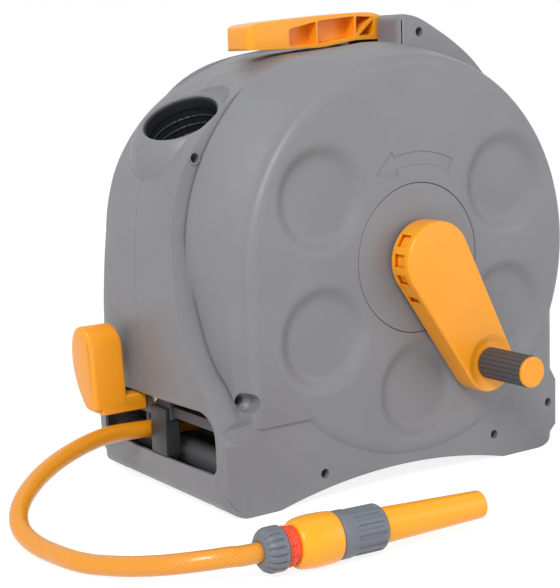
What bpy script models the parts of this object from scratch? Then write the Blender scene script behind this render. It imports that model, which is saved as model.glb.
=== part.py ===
# Enclosed garden hose reel with a folding carry handle, a crank, a sliding hose guide and a hose nozzle.
# Units are metres. X runs along the casing with the hose exit at -X, Y runs along the drum axis with the
# crank at -Y, and Z is up from the ground. The frame inside the root empty has the hub at X = 0 and the
# seam between the two casing halves at Y = 0. The root empty then puts the middle of the base at the origin.

import math

import bmesh
import bpy
from mathutils import Matrix, Vector

# Casing
WALL = 0.003
SEAM_GAP = 0.0003
SEAT_GAP = 0.0003
HUB_HEIGHT = 0.219
CASING_HALF_WIDTH = 0.127
RIM_RADIUS = 0.197
RIM_RUN = 0.011
RIM_DEPTH = 0.011
DISC_FACE_RADIUS = RIM_RADIUS - RIM_RUN
SHOULDER_RISE = 0.010
SHOULDER_RADIUS = RIM_RADIUS + SHOULDER_RISE
SHOULDER_HALF_WIDTH = 0.0645
GROOVE_DEPTH = 0.0115
MIDDLE_RADIUS = SHOULDER_RADIUS - GROOVE_DEPTH
MIDDLE_HALF_WIDTH = 0.0565
GROOVE_GROWTH = 0.0213
GROWTH_START = 99
GROWTH_RISE = 37
GROWTH_END = 240
GROWTH_FALL = 90
GROOVE_WIDTH = 0.003
GROOVE_FLOOR = -0.2005
STRIP_HALF_WIDTH = 0.0625
STRIP_PROUD = 0.0005
STRIP_BACK_RADIUS = SHOULDER_RADIUS + STRIP_PROUD
FRONT_CROWN_RADIUS = 1.21
SKIRT_HALF_WIDTH = 0.124
SKIRT_FRONT = -0.2255
SKIRT_REAR = 0.187
SKIRT_CORNER_RADIUS = 0.020
LEDGE_HEIGHT = 0.085
CHEEK_SINK = 0.0008
CHEEK_REAR = -0.120
CHEEK_BOTTOM = 0.0815
FLOOR_HEIGHT = 0.018
FOOT_LENGTH = 0.050
FRONT_FOOT_WIDTH = 0.036
REAR_FOOT_WIDTH = 0.034
ARCH_FRONT = -0.167
ARCH_REAR = 0.111
ARCH_RISE = 0.0172
CASING_SIDES = 48

# Round dimples in the disc faces
DIMPLE_RING_RADIUS = 0.130
DIMPLE_RADIUS = 0.051
DIMPLE_FLOOR_RADIUS = 0.037
DIMPLE_DEPTH = 0.008
DIMPLE_ANGLES = (30, 150, 210, 270, 330)

# Hump with the channel for the carry handle
HUMP_FRONT = 0.036
HUMP_CORNER_RADIUS = 0.011
CHANNEL_HALF_WIDTH = 0.0245
CHANNEL_FLOOR = 0.424
CHANNEL_REAR = 0.078
PIVOT_X = 0.059
PIVOT_Z = 0.434
PIN_RADIUS = 0.003
PIN_HALF_LENGTH = 0.0495
PIN_BOSS_RADIUS = 0.0065
PIN_MOUTH_RADIUS = 0.0046

# Nozzle pocket
POCKET_X = -0.190
POCKET_Y = -0.010
POCKET_Z = 0.3615
POCKET_TILT = math.radians(28.4)
POCKET_LEAN = math.radians(13.1)
POCKET_RADIUS = 0.037
POCKET_NECK_RADIUS = 0.061
POCKET_RIM = 0.0045
POCKET_NECK_DEPTH = 0.070
HOLSTER_WALL = 0.0025
HOLSTER_DEPTH = 0.060

# Hose exit in the front face
EXIT_HALF_WIDTH = 0.108
EXIT_BOTTOM = 0.040
EXIT_TOP = 0.098
EXIT_TOP_CORNER = 0.022
EXIT_BOTTOM_CORNER = 0.009

# Casing screws, from the crank side: (X, Z)
SCREW_PLACES = ((-0.1155, 0.0255), (0.0986, 0.0255), (0.175, 0.0466), (-0.196, 0.1058))
SCREW_BOSS_RADIUS = 0.0062
SCREW_HEAD_RADIUS = 0.0041
SCREW_HEAD_HEIGHT = 0.0035
SCREW_SHANK_RADIUS = 0.0017
SCREW_SEAT = 0.022
SCREW_REACH = 0.014
SCREW_CLEARANCE = 0.0003
SCREW_BELL_RADIUS = 0.009
SCREW_BELL_START = 0.104
HOLSTER_SCREW_PLACES = ((-0.2076, 0.3263), (-0.1475, 0.3655))
HOLSTER_LUG_RADIUS = 0.0042
HOLSTER_LUG_END = 0.040

# Drum
BARREL_RADIUS = 0.090
BARREL_WALL = 0.003
DRUM_HALF_LENGTH = 0.100
FLANGE_RIM_GAP = 0.011
FLANGE_RADIUS = RIM_RADIUS - FLANGE_RIM_GAP
FLANGE_THICKNESS = 0.003
FLANGE_BORE = 0.0203
HUB_PLATE_RADIUS = 0.0724
HUB_PLATE_CLEARANCE = 0.0005
HUB_PLATE_PROUD = 0.0003
HUB_BOSS_RADIUS = 0.014
HUB_BOSS_DEPTH = 0.012
BEARING_COLLAR_DEPTH = 0.015
WINDING_RADIUS = 0.144
JOURNAL_RADIUS = 0.020
REAR_HUB_WALL = 0.005
REAR_HUB_END = 0.1205

# Crank
CRANK_RADIUS_X = 0.064
CRANK_RADIUS_Z = -0.108
CRANK_HUB_RADIUS = 0.038
CRANK_TIP_RADIUS = 0.029
CRANK_BACK = 0.131
CRANK_FRONT = 0.159
CRANK_SEAT_RADIUS = 0.016
CRANK_SCREW_RADIUS = 0.003
CRANK_WALL = 0.004
CRANK_HUB_BOSS_RADIUS = 0.018
CRANK_TIP_BOSS_RADIUS = 0.011
CRANK_WINDOW_ANGLES = (146, 176, 206)
GRIP_RADIUS = 0.0155
GRIP_RIB_DEPTH = 0.0009
GRIP_RIBS = 18
GRIP_LENGTH = 0.0535
GRIP_BORE = 0.0064
SPINDLE_RADIUS = 0.006
CAP_RADIUS = 0.0148
CAP_THICKNESS = 0.0038

# Carry handle
HANDLE_FRONT = -0.118
HANDLE_HALF_WIDTH = 0.022
HANDLE_EYE_RADIUS = 0.008
HANDLE_WEB = 0.012

# Hose
HOSE_RADIUS = 0.0085
HOSE_Y = 0.0212

# Hose guide
RAIL_FRONT = -0.219
RAIL_REAR = -0.209
RAIL_BOTTOM = 0.0785
RAIL_TOP = 0.0885
RAIL_HALF_LENGTH = 0.1000
RAIL_SEAT_END = 0.1100
RAIL_SEAT_TOP = 0.0866
RAIL_CLEARANCE = 0.00035
BAR_X = -0.190
BAR_Z = 0.036
BAR_RADIUS = 0.0125
BAR_HALF_LENGTH = 0.1115
CARRIAGE_FRONT = -0.2225
CARRIAGE_REAR = -0.2045
CARRIAGE_BOTTOM = 0.0755
CARRIAGE_TOP = 0.0970
CARRIAGE_NEAR = -0.0225
CARRIAGE_FAR = 0.046
POST_FRONT = -0.228
POST_REAR = -0.212
POST_FAR = 0.0065
POST_BOTTOM = 0.040
POST_LIP_TOP = 0.0875
FAR_POST_NEAR = 0.0305
FAR_POST_WIDTH = 0.007
FAR_POST_BOTTOM = 0.052
LEVER_NEAR = 0.0205
LEVER_BACK = -0.244
LEVER_THICKNESS = 0.035788
LEVER_LEAN = 0.008
LEVER_STUB_DROP = 0.004
GUIDE_SCREW_Y = 0.003
GUIDE_SCREW_Z = 0.0930

# Inlet at the back of the hub
INLET_FLANGE_RADIUS = 0.030
INLET_FLANGE_THICKNESS = 0.004
INLET_SPIGOT_RADIUS = 0.0084
INLET_LENGTH = 0.039
INLET_BORE = 0.005
SWIVEL_BORE = 0.009
ELBOW_RADIUS = 0.0065
ELBOW_BEND = 0.028
ELBOW_EXIT = 0.060

# Hose connector and nozzle, along their own axis from the hose end
NUT_START = Vector((-0.280, -0.2585, 0.0226))
NOZZLE_TURN = math.radians(-5.3)
NUT_LENGTH = 0.021
NUT_RADIUS = 0.019
RING_RADIUS = 0.0173
RING_LENGTH = 0.0046
NECK_RADIUS = 0.0155
SLEEVE_START = 0.0315
SLEEVE_LENGTH = 0.0388
SLEEVE_RADIUS = 0.0222
SLEEVE_TRAVEL = 0.004
COLLAR_LENGTH = 0.0447
COLLAR_RADIUS = 0.020
CORE_RADIUS = 0.011
STEM_RADIUS = 0.0072
STEM_BODY_RADIUS = 0.0105
BARREL_LENGTH = 0.1046
BARREL_BACK_RADIUS = 0.0154
BARREL_TIP_RADIUS = 0.0117
BARREL_TIP_BORE = 0.0080

# Side outline of the middle strip at the seam, (X, Z), from the ground at the front up to the hump.
STRIP_FRONT_POINTS = (
    (-0.2285, 0.024), (-0.2295, 0.060), (-0.2325, 0.105), (-0.2375, 0.150), (-0.2405, 0.190),
    (-0.2395, 0.235), (-0.2345, 0.280), (-0.2205, 0.320), (-0.1930, 0.357), (-0.1570, 0.385),
    (-0.1220, 0.403), (-0.0830, 0.415), (-0.0450, 0.4190), (0.0, 0.4235),
)
# Front view of the strip's flare, (Y, Z), down to the base corner.
FLARE_POINTS = (
    (0.0625, 0.500), (0.0625, 0.252), (0.0680, 0.208), (0.0740, 0.178), (0.0805, 0.153), (0.0890, 0.132),
    (0.0985, 0.1155), (0.1080, 0.090), (0.1235, 0.070), (0.1235, 0.000),
)
HUMP_POINTS = (
    (0.0405, 0.4520), (0.058, 0.448), (0.081, 0.4367), (0.106, 0.422), (0.130, 0.404),
    (0.152, 0.380), (0.170, 0.350), (0.178, 0.320),
)
HANDLE_TOP_POINTS = (
    (HANDLE_FRONT, 0.442), (-0.100, 0.4470), (-0.041, 0.452), (0.010, 0.4555), (0.034, 0.4545), (0.050, 0.4480),
)
HANDLE_BOTTOM_POINTS = ((0.036, 0.4285), (0.010, 0.4280), (-0.033, 0.4215), (HANDLE_FRONT, 0.4210))
HANDLE_POCKETS = (
    ((-0.0705, 0.4240), (-0.0380, 0.4250), (-0.0380, 0.4485), (-0.0705, 0.4410)),
    ((-0.0362, 0.4255), (0.0088, 0.4315), (0.0088, 0.4520), (-0.0362, 0.4490)),
    ((0.0112, 0.4320), (0.0330, 0.4335), (0.0330, 0.4510), (0.0112, 0.4520)),
)
LEVER_POINTS = (
    (0.000, 0.083), (0.000, 0.154), (0.004, 0.163), (0.014, 0.168), (0.028, 0.163), (0.040, 0.152),
    (0.047, 0.138), (0.0475, 0.126), (0.043, 0.112), (0.036, 0.099), (0.026, 0.087), (0.020, 0.083),
)
# Routes of the hose, (X, Y, Z): inside the casing, from under the winding to the guide, and outside it.
LEAD_TOP = HUB_HEIGHT - WINDING_RADIUS - HOSE_RADIUS - SEAT_GAP
LEAD_ROUTE = (
    (0.0, HOSE_Y, LEAD_TOP), (-0.060, HOSE_Y, LEAD_TOP - 0.0012), (-0.110, HOSE_Y, LEAD_TOP - 0.0072),
    (-0.150, HOSE_Y, 0.0565), (-0.190, HOSE_Y, 0.0578), (-0.2237, HOSE_Y, 0.0594),
)
FREE_ROUTE = (
    (-0.2240, 0.0212, 0.0594), (-0.2380, 0.0212, 0.0600), (-0.2532, 0.0208, 0.0608), (-0.2686, 0.0193, 0.0609),
    (-0.2840, 0.0164, 0.0596), (-0.2994, 0.0124, 0.0575), (-0.3146, 0.0073, 0.0547), (-0.3296, 0.0012, 0.0516),
    (-0.3442, -0.0060, 0.0477), (-0.3583, -0.0143, 0.0433), (-0.3716, -0.0238, 0.0381), (-0.3838, -0.0347, 0.0321),
    (-0.3936, -0.0474, 0.0252), (-0.3992, -0.0626, 0.0180), (-0.3996, -0.0797, 0.0127), (-0.3976, -0.0975, 0.0099),
    (-0.3945, -0.1155, 0.0090), (-0.3915, -0.1338, 0.0090), (-0.3872, -0.1497, 0.0090), (-0.3811, -0.1626, 0.0090),
    (-0.3749, -0.1748, 0.0100), (-0.3686, -0.1869, 0.0113), (-0.3622, -0.1986, 0.0129), (-0.3555, -0.2097, 0.0148),
    (-0.3485, -0.2200, 0.0167), (-0.3411, -0.2293, 0.0186), (-0.3332, -0.2376, 0.0204), (-0.3247, -0.2446, 0.0218),
    (-0.3154, -0.2503, 0.0228), (-0.3051, -0.2545, 0.0233), (-0.2939, -0.2572, 0.0226), (-0.2710, -0.2593, 0.0226),
)

COLOURS = {
    "body_plastic": ((0.205, 0.207, 0.220), 0.42, 0.0),
    "inner_plastic": ((0.150, 0.150, 0.158), 0.50, 0.0),
    "orange_plastic": ((1.0, 0.376, 0.010), 0.35, 0.0),
    "yellow_plastic": ((1.0, 0.430, 0.008), 0.32, 0.0),
    "hose_pvc": ((0.900, 0.400, 0.008), 0.30, 0.0),
    "grip_rubber": ((0.070, 0.066, 0.070), 0.65, 0.0),
    "black_plastic": ((0.020, 0.022, 0.024), 0.50, 0.0),
    "connector_grey": ((0.155, 0.168, 0.200), 0.45, 0.0),
    "red_plastic": ((0.870, 0.085, 0.030), 0.40, 0.0),
    "steel": ((0.620, 0.610, 0.590), 0.30, 1.0),
    "seal_rubber": ((0.012, 0.012, 0.013), 0.70, 0.0),
}

for old in list(bpy.data.objects):
    bpy.data.objects.remove(old, do_unlink=True)

parts = bpy.data.collections.new("hose_reel")
cutters = bpy.data.collections.new("cutters")
cutters.hide_render = True
for collection in (parts, cutters):
    bpy.context.scene.collection.children.link(collection)


# Small helpers
def make_material(name):
    colour, roughness, metallic = COLOURS[name]
    material = bpy.data.materials.new(name)
    material.use_nodes = True
    shader = material.node_tree.nodes["Principled BSDF"]
    shader.inputs["Base Color"].default_value = (*colour, 1.0)
    shader.inputs["Roughness"].default_value = roughness
    shader.inputs["Metallic"].default_value = metallic
    material.diffuse_color = (*colour, 1.0)
    return material


materials = {name: make_material(name) for name in COLOURS}


def make_empty(name, parent, location, rotation=(0.0, 0.0, 0.0)):
    empty = bpy.data.objects.new(name, None)
    empty.parent = parent
    empty.location = location
    empty.rotation_euler = rotation
    parts.objects.link(empty)
    return empty


def place(obj, material, parent, location=(0, 0, 0)):
    """Make the object a finished sub-part."""
    if obj.name in cutters.objects:
        cutters.objects.unlink(obj)
    if obj.name not in parts.objects:
        parts.objects.link(obj)
    obj.hide_render = False
    obj.display_type = "TEXTURED"
    obj.parent = parent
    obj.location = location
    obj.data.materials.clear()
    obj.data.materials.append(materials[material])
    if obj.type == "MESH":
        obj.data.shade_smooth()
        obj.data.set_sharp_from_angle(angle=math.radians(35))
    return obj


def helper(name, data):
    """A cutter, guide or half-made piece, kept out of the render."""
    obj = bpy.data.objects.new(name, data)
    cutters.objects.link(obj)
    obj.hide_render = True
    obj.display_type = "WIRE"
    return obj


def baked(obj):
    """Replace the object by the mesh its modifiers give, with points that coincide welded."""
    bpy.context.view_layer.update()
    graph = bpy.context.evaluated_depsgraph_get()
    mesh = bpy.data.meshes.new_from_object(obj.evaluated_get(graph))
    mesh.transform(obj.matrix_world)
    name = obj.name
    bpy.data.objects.remove(obj, do_unlink=True)
    bm = bmesh.new()
    bm.from_mesh(mesh)
    bmesh.ops.remove_doubles(bm, verts=bm.verts, dist=2e-6)
    bm.to_mesh(mesh)
    bm.free()
    return helper(name, mesh)


def boolean(obj, other, operation):
    """One Boolean, baked at once: in a chain of them each rounds the points of the last."""
    modifier = obj.modifiers.new(operation.lower(), "BOOLEAN")
    modifier.operation = operation
    modifier.object = other
    modifier.solver = "EXACT"
    return baked(obj)


def cut(obj, *others):
    for other in others:
        obj = boolean(obj, other, "DIFFERENCE")
    return obj


def join(obj, *others):
    for other in others:
        obj = boolean(obj, other, "UNION")
    return obj


def common(obj, other):
    return boolean(obj, other, "INTERSECT")


def turned(name, profile, sides=32, matrix=None):
    """Turn a (radius, height) profile about local Z. It is closed along the axis or as a ring."""
    points = list(profile)
    area = sum(a[0] * b[1] - b[0] * a[1] for a, b in zip(points, points[1:] + points[:1]))
    if area > 0:
        points.reverse()
    ring = min(p[0] for p in points) > 0
    mesh = bpy.data.meshes.new(name)
    edges = [(i, i + 1) for i in range(len(points) - 1)]
    if ring:
        edges.append((len(points) - 1, 0))
    mesh.from_pydata([(r, 0.0, z) for r, z in points], edges, [])
    obj = helper(name, mesh)
    screw = obj.modifiers.new("turn", "SCREW")
    screw.steps = sides
    screw.render_steps = sides
    screw.use_merge_vertices = True
    screw.merge_threshold = 0.00001
    if matrix is not None:
        obj.matrix_world = matrix
    return baked(obj)


def slab(name, outline, low, high, plane):
    """Extrude a flat outline: plane XZ along Y, YZ along X or XY along Z."""
    curve = bpy.data.curves.new(name, "CURVE")
    curve.dimensions = "2D"
    curve.fill_mode = "BOTH"
    curve.extrude = (high - low) / 2
    spline = curve.splines.new("POLY")
    spline.points.add(len(outline) - 1)
    for point, (u, v) in zip(spline.points, outline):
        point.co = (u, v, 0.0, 1.0)
    spline.use_cyclic_u = True
    middle = (low + high) / 2
    turn = {
        "XZ": Matrix.Translation((0, middle, 0)) @ Matrix.Rotation(math.radians(90), 4, "X"),
        "YZ": Matrix.Translation((middle, 0, 0)) @ Matrix(((0, 0, 1, 0), (1, 0, 0, 0), (0, 1, 0, 0), (0, 0, 0, 1))),
        "XY": Matrix.Translation((0, 0, middle)),
    }[plane]
    obj = helper(name, curve)
    obj.matrix_world = turn
    return baked(obj)


def box(name, low, high, matrix=None):
    bm = bmesh.new()
    bmesh.ops.create_cube(bm, size=1.0)
    size = [b - a for a, b in zip(low, high)]
    bmesh.ops.scale(bm, vec=size, verts=bm.verts)
    bmesh.ops.translate(bm, vec=[(a + b) / 2 for a, b in zip(low, high)], verts=bm.verts)
    if matrix is not None:
        bmesh.ops.transform(bm, matrix=matrix, verts=bm.verts)
    mesh = bpy.data.meshes.new(name)
    bm.to_mesh(mesh)
    bm.free()
    return helper(name, mesh)


def rod(name, radius, start, end, sides=16):
    """A cylinder between two points."""
    start, end = Vector(start), Vector(end)
    bm = bmesh.new()
    length = (end - start).length
    bmesh.ops.create_cone(
        bm, cap_ends=True, cap_tris=False, segments=sides, radius1=radius, radius2=radius, depth=length
    )
    turn = (end - start).to_track_quat("Z", "Y").to_matrix().to_4x4()
    bmesh.ops.transform(bm, matrix=Matrix.Translation((start + end) / 2) @ turn, verts=bm.verts)
    mesh = bpy.data.meshes.new(name)
    bm.to_mesh(mesh)
    bm.free()
    return helper(name, mesh)


def bevel(obj, width, segments=2, angle=40):
    modifier = obj.modifiers.new("bevel", "BEVEL")
    modifier.width = width
    modifier.segments = segments
    modifier.limit_method = "ANGLE"
    modifier.angle_limit = math.radians(angle)
    return obj


def arc(centre, radius, first, last, steps):
    """Points of an arc in degrees, counter-clockwise where last is larger."""
    turns = [math.radians(first + (last - first) * i / steps) for i in range(steps + 1)]
    return [(centre[0] + radius * math.cos(t), centre[1] + radius * math.sin(t)) for t in turns]


def smooth(points, steps):
    """A Catmull-Rom curve through the points, with its ends."""
    points = [Vector(p) for p in points]
    ends = [2 * points[0] - points[1]] + points + [2 * points[-1] - points[-2]]
    found = []
    for a, b, c, d in zip(ends, ends[1:], ends[2:], ends[3:]):
        for i in range(steps):
            t = i / steps
            found.append(
                0.5 * (2 * b + (c - a) * t + (2 * a - 5 * b + 4 * c - d) * t * t + (3 * b - a - 3 * c + d) * t**3)
            )
    return [tuple(p) for p in found] + [tuple(points[-1])]


def inset(outline, distance):
    """Move each side of a counter-clockwise outline inwards."""
    if distance == 0:
        return list(outline)
    found = []
    count = len(outline)
    for i in range(count):
        before, here, after = (Vector(outline[j % count]) for j in (i - 1, i, i + 1))
        first, second = (here - before).normalized(), (after - here).normalized()
        normal = Vector((-first.y - second.y, first.x + second.x)).normalized()
        scale = max(normal.dot(Vector((-first.y, first.x))), 0.5)
        found.append(tuple(here + normal * distance / scale))
    return found


root = make_empty("hose_reel_root", None, (0, 0, 0))
CRANKWARD = Matrix.Translation((0, 0, HUB_HEIGHT)) @ Matrix.Rotation(math.radians(90), 4, "X")
POCKET = (
    Matrix.Translation((POCKET_X, POCKET_Y, POCKET_Z))
    @ Matrix.Rotation(-POCKET_TILT, 4, "Y")
    @ Matrix.Rotation(POCKET_LEAN, 4, "X")
)


# Casing bodies. Each takes an inset, so that the same shape gives the outside and the hollow.
def groove_growth(angle):
    """How far the side housing swells towards the front, by the angle about the hub in degrees."""
    share = min((angle - GROWTH_START) / GROWTH_RISE, (GROWTH_END - angle) / GROWTH_FALL, 1.0)
    share = max(share, 0.0)
    return GROOVE_GROWTH * share * share * (3 - 2 * share)


def housing(name, gap, sides):
    half = [
        (DISC_FACE_RADIUS, CASING_HALF_WIDTH),
        (DISC_FACE_RADIUS + 0.0075, CASING_HALF_WIDTH - 0.003),
        (RIM_RADIUS, CASING_HALF_WIDTH - RIM_DEPTH),
        (RIM_RADIUS + 0.005, CASING_HALF_WIDTH - 3 * RIM_DEPTH),
        (SHOULDER_RADIUS, SHOULDER_HALF_WIDTH),
        (MIDDLE_RADIUS, MIDDLE_HALF_WIDTH),
    ]
    half = [(r - gap, w - (gap if w > SHOULDER_HALF_WIDTH else 0)) for r, w in half]
    top = half[0][1]
    profile = [(0, top)] + half + [(r, -w) for r, w in reversed(half)] + [(0, -top)]
    obj = turned(name, profile, sides, CRANKWARD)
    for vertex in obj.data.vertices:
        x, y, z = vertex.co.x, abs(vertex.co.y), vertex.co.z - HUB_HEIGHT
        angle = math.degrees(math.atan2(z, x)) % 360
        share = (CASING_HALF_WIDTH - RIM_DEPTH - y) / (CASING_HALF_WIDTH - RIM_DEPTH - SHOULDER_HALF_WIDTH)
        radius = math.hypot(x, z)
        if radius > DISC_FACE_RADIUS - WALL - 0.001 and share > 0:
            scale = 1 + groove_growth(angle) * min(share, 1.0) / radius
            vertex.co.x = x * scale
            vertex.co.z = HUB_HEIGHT + z * scale
    return obj


def flare_slab(name, gap, low, high):
    """The front view of the strip, between two planes across X."""
    flare = [(-y, z) for y, z in FLARE_POINTS] + list(FLARE_POINTS[::-1])
    return slab(name, inset(flare, gap), low, high, "YZ")


def cheek(name, gap):
    """The housing's front edge, carried down to the base and kept off the flared strip by the groove."""
    face = CASING_HALF_WIDTH - CHEEK_SINK
    growth = groove_growth(180)
    reach = CASING_HALF_WIDTH - RIM_DEPTH - SHOULDER_HALF_WIDTH
    waist = CASING_HALF_WIDTH - 3 * RIM_DEPTH
    swell = growth * (CASING_HALF_WIDTH - RIM_DEPTH - waist) / reach
    near = [
        (CHEEK_REAR, -face),
        (-DISC_FACE_RADIUS - 0.001, -face),
        (-DISC_FACE_RADIUS - 0.008, 0.003 - face),
        (0.0003 - RIM_RADIUS, RIM_DEPTH - CASING_HALF_WIDTH),
        (-RIM_RADIUS - 0.005 - swell, -waist),
        (-SHOULDER_RADIUS - growth, -SHOULDER_HALF_WIDTH),
    ]
    plan = near + [(x, -y) for x, y in near[::-1]]
    form = slab(name, inset(plan[::-1], gap), CHEEK_BOTTOM + gap, HUB_HEIGHT + 0.0007, "XY")
    return cut(form, flare_slab(name + "_groove", -GROOVE_WIDTH - gap, -0.30, GROOVE_FLOOR + gap))


def strip(name, gap):
    front = smooth(STRIP_FRONT_POINTS, 2)
    foot = [(-0.2235, 0.013), (-0.2140, 0.0055), (-0.2030, 0.0020)]
    back_top = arc((0, HUB_HEIGHT), STRIP_BACK_RADIUS, 86, -14, 16)
    rear = SKIRT_REAR - 0.001
    outline = foot[::-1] + front + back_top + [(rear, 0.120), (rear, 0.022), (0.165, 0.0020)]
    outline = inset(outline[::-1], gap)
    bm = bmesh.new()
    half = 0.130
    face = bm.faces.new([bm.verts.new((x, half, z)) for x, z in outline])
    columns = 8
    for column in range(columns):
        made = bmesh.ops.extrude_face_region(bm, geom=[face])
        bmesh.ops.translate(
            bm,
            vec=(0, -2 * half / columns, 0),
            verts=[v for v in made["geom"] if isinstance(v, bmesh.types.BMVert)],
        )
        old, face = face, [f for f in made["geom"] if isinstance(f, bmesh.types.BMFace)][0]
        if column > 0:
            bm.faces.remove(old)
    for vertex in bm.verts:
        share = min(max(-vertex.co.x / 0.10, 0.0), 1.0)
        vertex.co.x += share * vertex.co.y**2 / (2 * FRONT_CROWN_RADIUS)
    bmesh.ops.recalc_face_normals(bm, faces=bm.faces)
    bmesh.ops.connect_verts_nonplanar(bm, angle_limit=0.0001, faces=bm.faces)
    mesh = bpy.data.meshes.new(name)
    bm.to_mesh(mesh)
    bm.free()
    obj = helper(name, mesh)
    return common(obj, flare_slab(name + "_flare", gap, -0.30, 0.30))


def skirt(name, gap):
    front = SKIRT_FRONT + SKIRT_CORNER_RADIUS
    side = SKIRT_HALF_WIDTH - SKIRT_CORNER_RADIUS
    corners = (
        arc((SKIRT_REAR - 0.016, SKIRT_HALF_WIDTH - 0.016), 0.016, 0, 90, 4)
        + arc((front, side), SKIRT_CORNER_RADIUS, 90, 180, 5)
        + arc((front, -side), SKIRT_CORNER_RADIUS, 180, 270, 5)
        + arc((SKIRT_REAR - 0.016, 0.016 - SKIRT_HALF_WIDTH), 0.016, 270, 360, 4)
    )
    plan = slab(name, inset(corners, gap), -0.02, 0.22, "XY")
    side = (
        [(-0.204, 0.0)]
        + [(0.165, 0.0), (0.178, 0.005), (0.1868, 0.018), (0.192, 0.03), (0.192, 0.150)]
        + [(0.150, 0.175), (0.0, 0.175), (-0.120, 0.120), (-0.170, LEDGE_HEIGHT + 0.006)]
        + [(-0.216, LEDGE_HEIGHT), (-0.2265, LEDGE_HEIGHT - 0.008)]
        + [(-0.232, 0.04), (-0.2255, 0.016), (-0.2160, 0.004)]
    )
    return common(plan, slab(name + "_side", inset(side, gap), -0.2, 0.2, "XZ"))


def hump(name, gap):
    outline = [(HUMP_FRONT, 0.410)] + [(0.150, 0.330)] + list(reversed(HUMP_POINTS)) + [(HUMP_FRONT, 0.4465)]
    half = STRIP_HALF_WIDTH - 0.0004
    form = slab(name, inset(outline, gap), -half, half, "XZ")
    middle = HUMP_FRONT + HUMP_CORNER_RADIUS
    plan = (
        [(0.20, -half), (0.20, half)]
        + arc((middle, half - HUMP_CORNER_RADIUS), HUMP_CORNER_RADIUS, 90, 180, 4)
        + arc((middle, HUMP_CORNER_RADIUS - half), HUMP_CORNER_RADIUS, 180, 270, 4)
    )
    return common(form, slab(name + "_plan", inset(plan, gap), 0.30, 0.50, "XY"))


def neck(name, gap):
    rim = POCKET_RADIUS + POCKET_RIM
    profile = [
        (0, -gap * 1.1),
        (rim - 0.0010 - gap * 0.1, -gap * 1.1),
        (rim + 0.0020 - gap * 0.7, -0.002 - gap),
        (rim + 0.0090 - gap, -0.009),
        (rim + 0.0160 - gap, -0.019),
        (POCKET_NECK_RADIUS - gap, -0.034),
        (POCKET_NECK_RADIUS - gap, -POCKET_NECK_DEPTH),
        (0, -POCKET_NECK_DEPTH),
    ]
    return turned(name, profile, 40, POCKET)


def dimples(name, gap):
    """The five dimples of the crank face and of the far face, as one list of cutters."""
    found = []
    for side, sign in (("near", 1), ("far", -1)):
        for angle in DIMPLE_ANGLES:
            face = sign * (CASING_HALF_WIDTH + 0.001)
            floor = sign * (CASING_HALF_WIDTH - DIMPLE_DEPTH - gap)
            mouth = DIMPLE_RADIUS + gap + 0.0016
            profile = [(0, face), (mouth, face), (DIMPLE_FLOOR_RADIUS + gap, floor), (0, floor)]
            turn = math.radians(angle)
            spot = (DIMPLE_RING_RADIUS * math.cos(turn), DIMPLE_RING_RADIUS * math.sin(turn), 0)
            shift = Matrix.Translation(spot)
            found.append(turned(f"{name}_{side}_{angle}", profile, 20, CRANKWARD @ shift))
    return found


# Casing: outside minus hollow, then bosses, then openings
outside = join(
    strip("casing_outside", 0),
    skirt("skirt_outside", 0),
    cheek("cheek_outside", 0),
    housing("housing_outside", 0, CASING_SIDES),
    hump("hump_outside", 0),
    neck("neck_outside", 0),
)
rim_radius = POCKET_RADIUS + POCKET_RIM
above = [(0, -0.0003), (rim_radius, -0.0003), (rim_radius + 0.0065, 0.005), (rim_radius + 0.022, 0.030)]
above += [(rim_radius + 0.022, 0.06), (0, 0.06)]
outside = cut(outside, turned("above_rim", above, 40, POCKET))

hollow = join(
    strip("casing_hollow", WALL),
    skirt("skirt_hollow", WALL),
    cheek("cheek_hollow", WALL),
    housing("housing_hollow", WALL, CASING_SIDES),
    hump("hump_hollow", WALL),
)
rim_keep = turned("rim_keep", [(0, -WALL), (0.0552, -WALL), (0.0552, 0.06), (0, 0.06)], 40, POCKET)
channel_keep = box(
    "channel_keep",
    (HUMP_FRONT - 0.004, -CHANNEL_HALF_WIDTH - WALL, CHANNEL_FLOOR - WALL),
    (CHANNEL_REAR + WALL, CHANNEL_HALF_WIDTH + WALL, 0.48),
)
hollow = cut(hollow, rim_keep, channel_keep, *dimples("dimple_wall", WALL))
hollow = join(hollow, neck("neck_hollow", WALL))
# The highest casing screw goes in through a bell mouth in the cheek, with material kept round it
bell_x, bell_z = SCREW_PLACES[-1]
CRANK_FACE = Matrix.Translation((bell_x, 0, bell_z)) @ Matrix.Rotation(math.radians(90), 4, "X")
bell_outside = SCREW_BELL_RADIUS + 0.002
bell_keep = [(0, SCREW_BELL_START - 0.004), (SCREW_BOSS_RADIUS, SCREW_BELL_START - 0.004)]
bell_keep += [(bell_outside, SCREW_BELL_START + 0.002), (bell_outside, 0.13), (0, 0.13)]
hollow = cut(hollow, turned("bell_keep", bell_keep, 20, CRANK_FACE))
hollow = common(hollow, box("above_floor", (-0.30, -0.13, FLOOR_HEIGHT + WALL), (0.30, 0.13, 0.50)))
casing = cut(outside, hollow)
casing.name = "casing"

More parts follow.
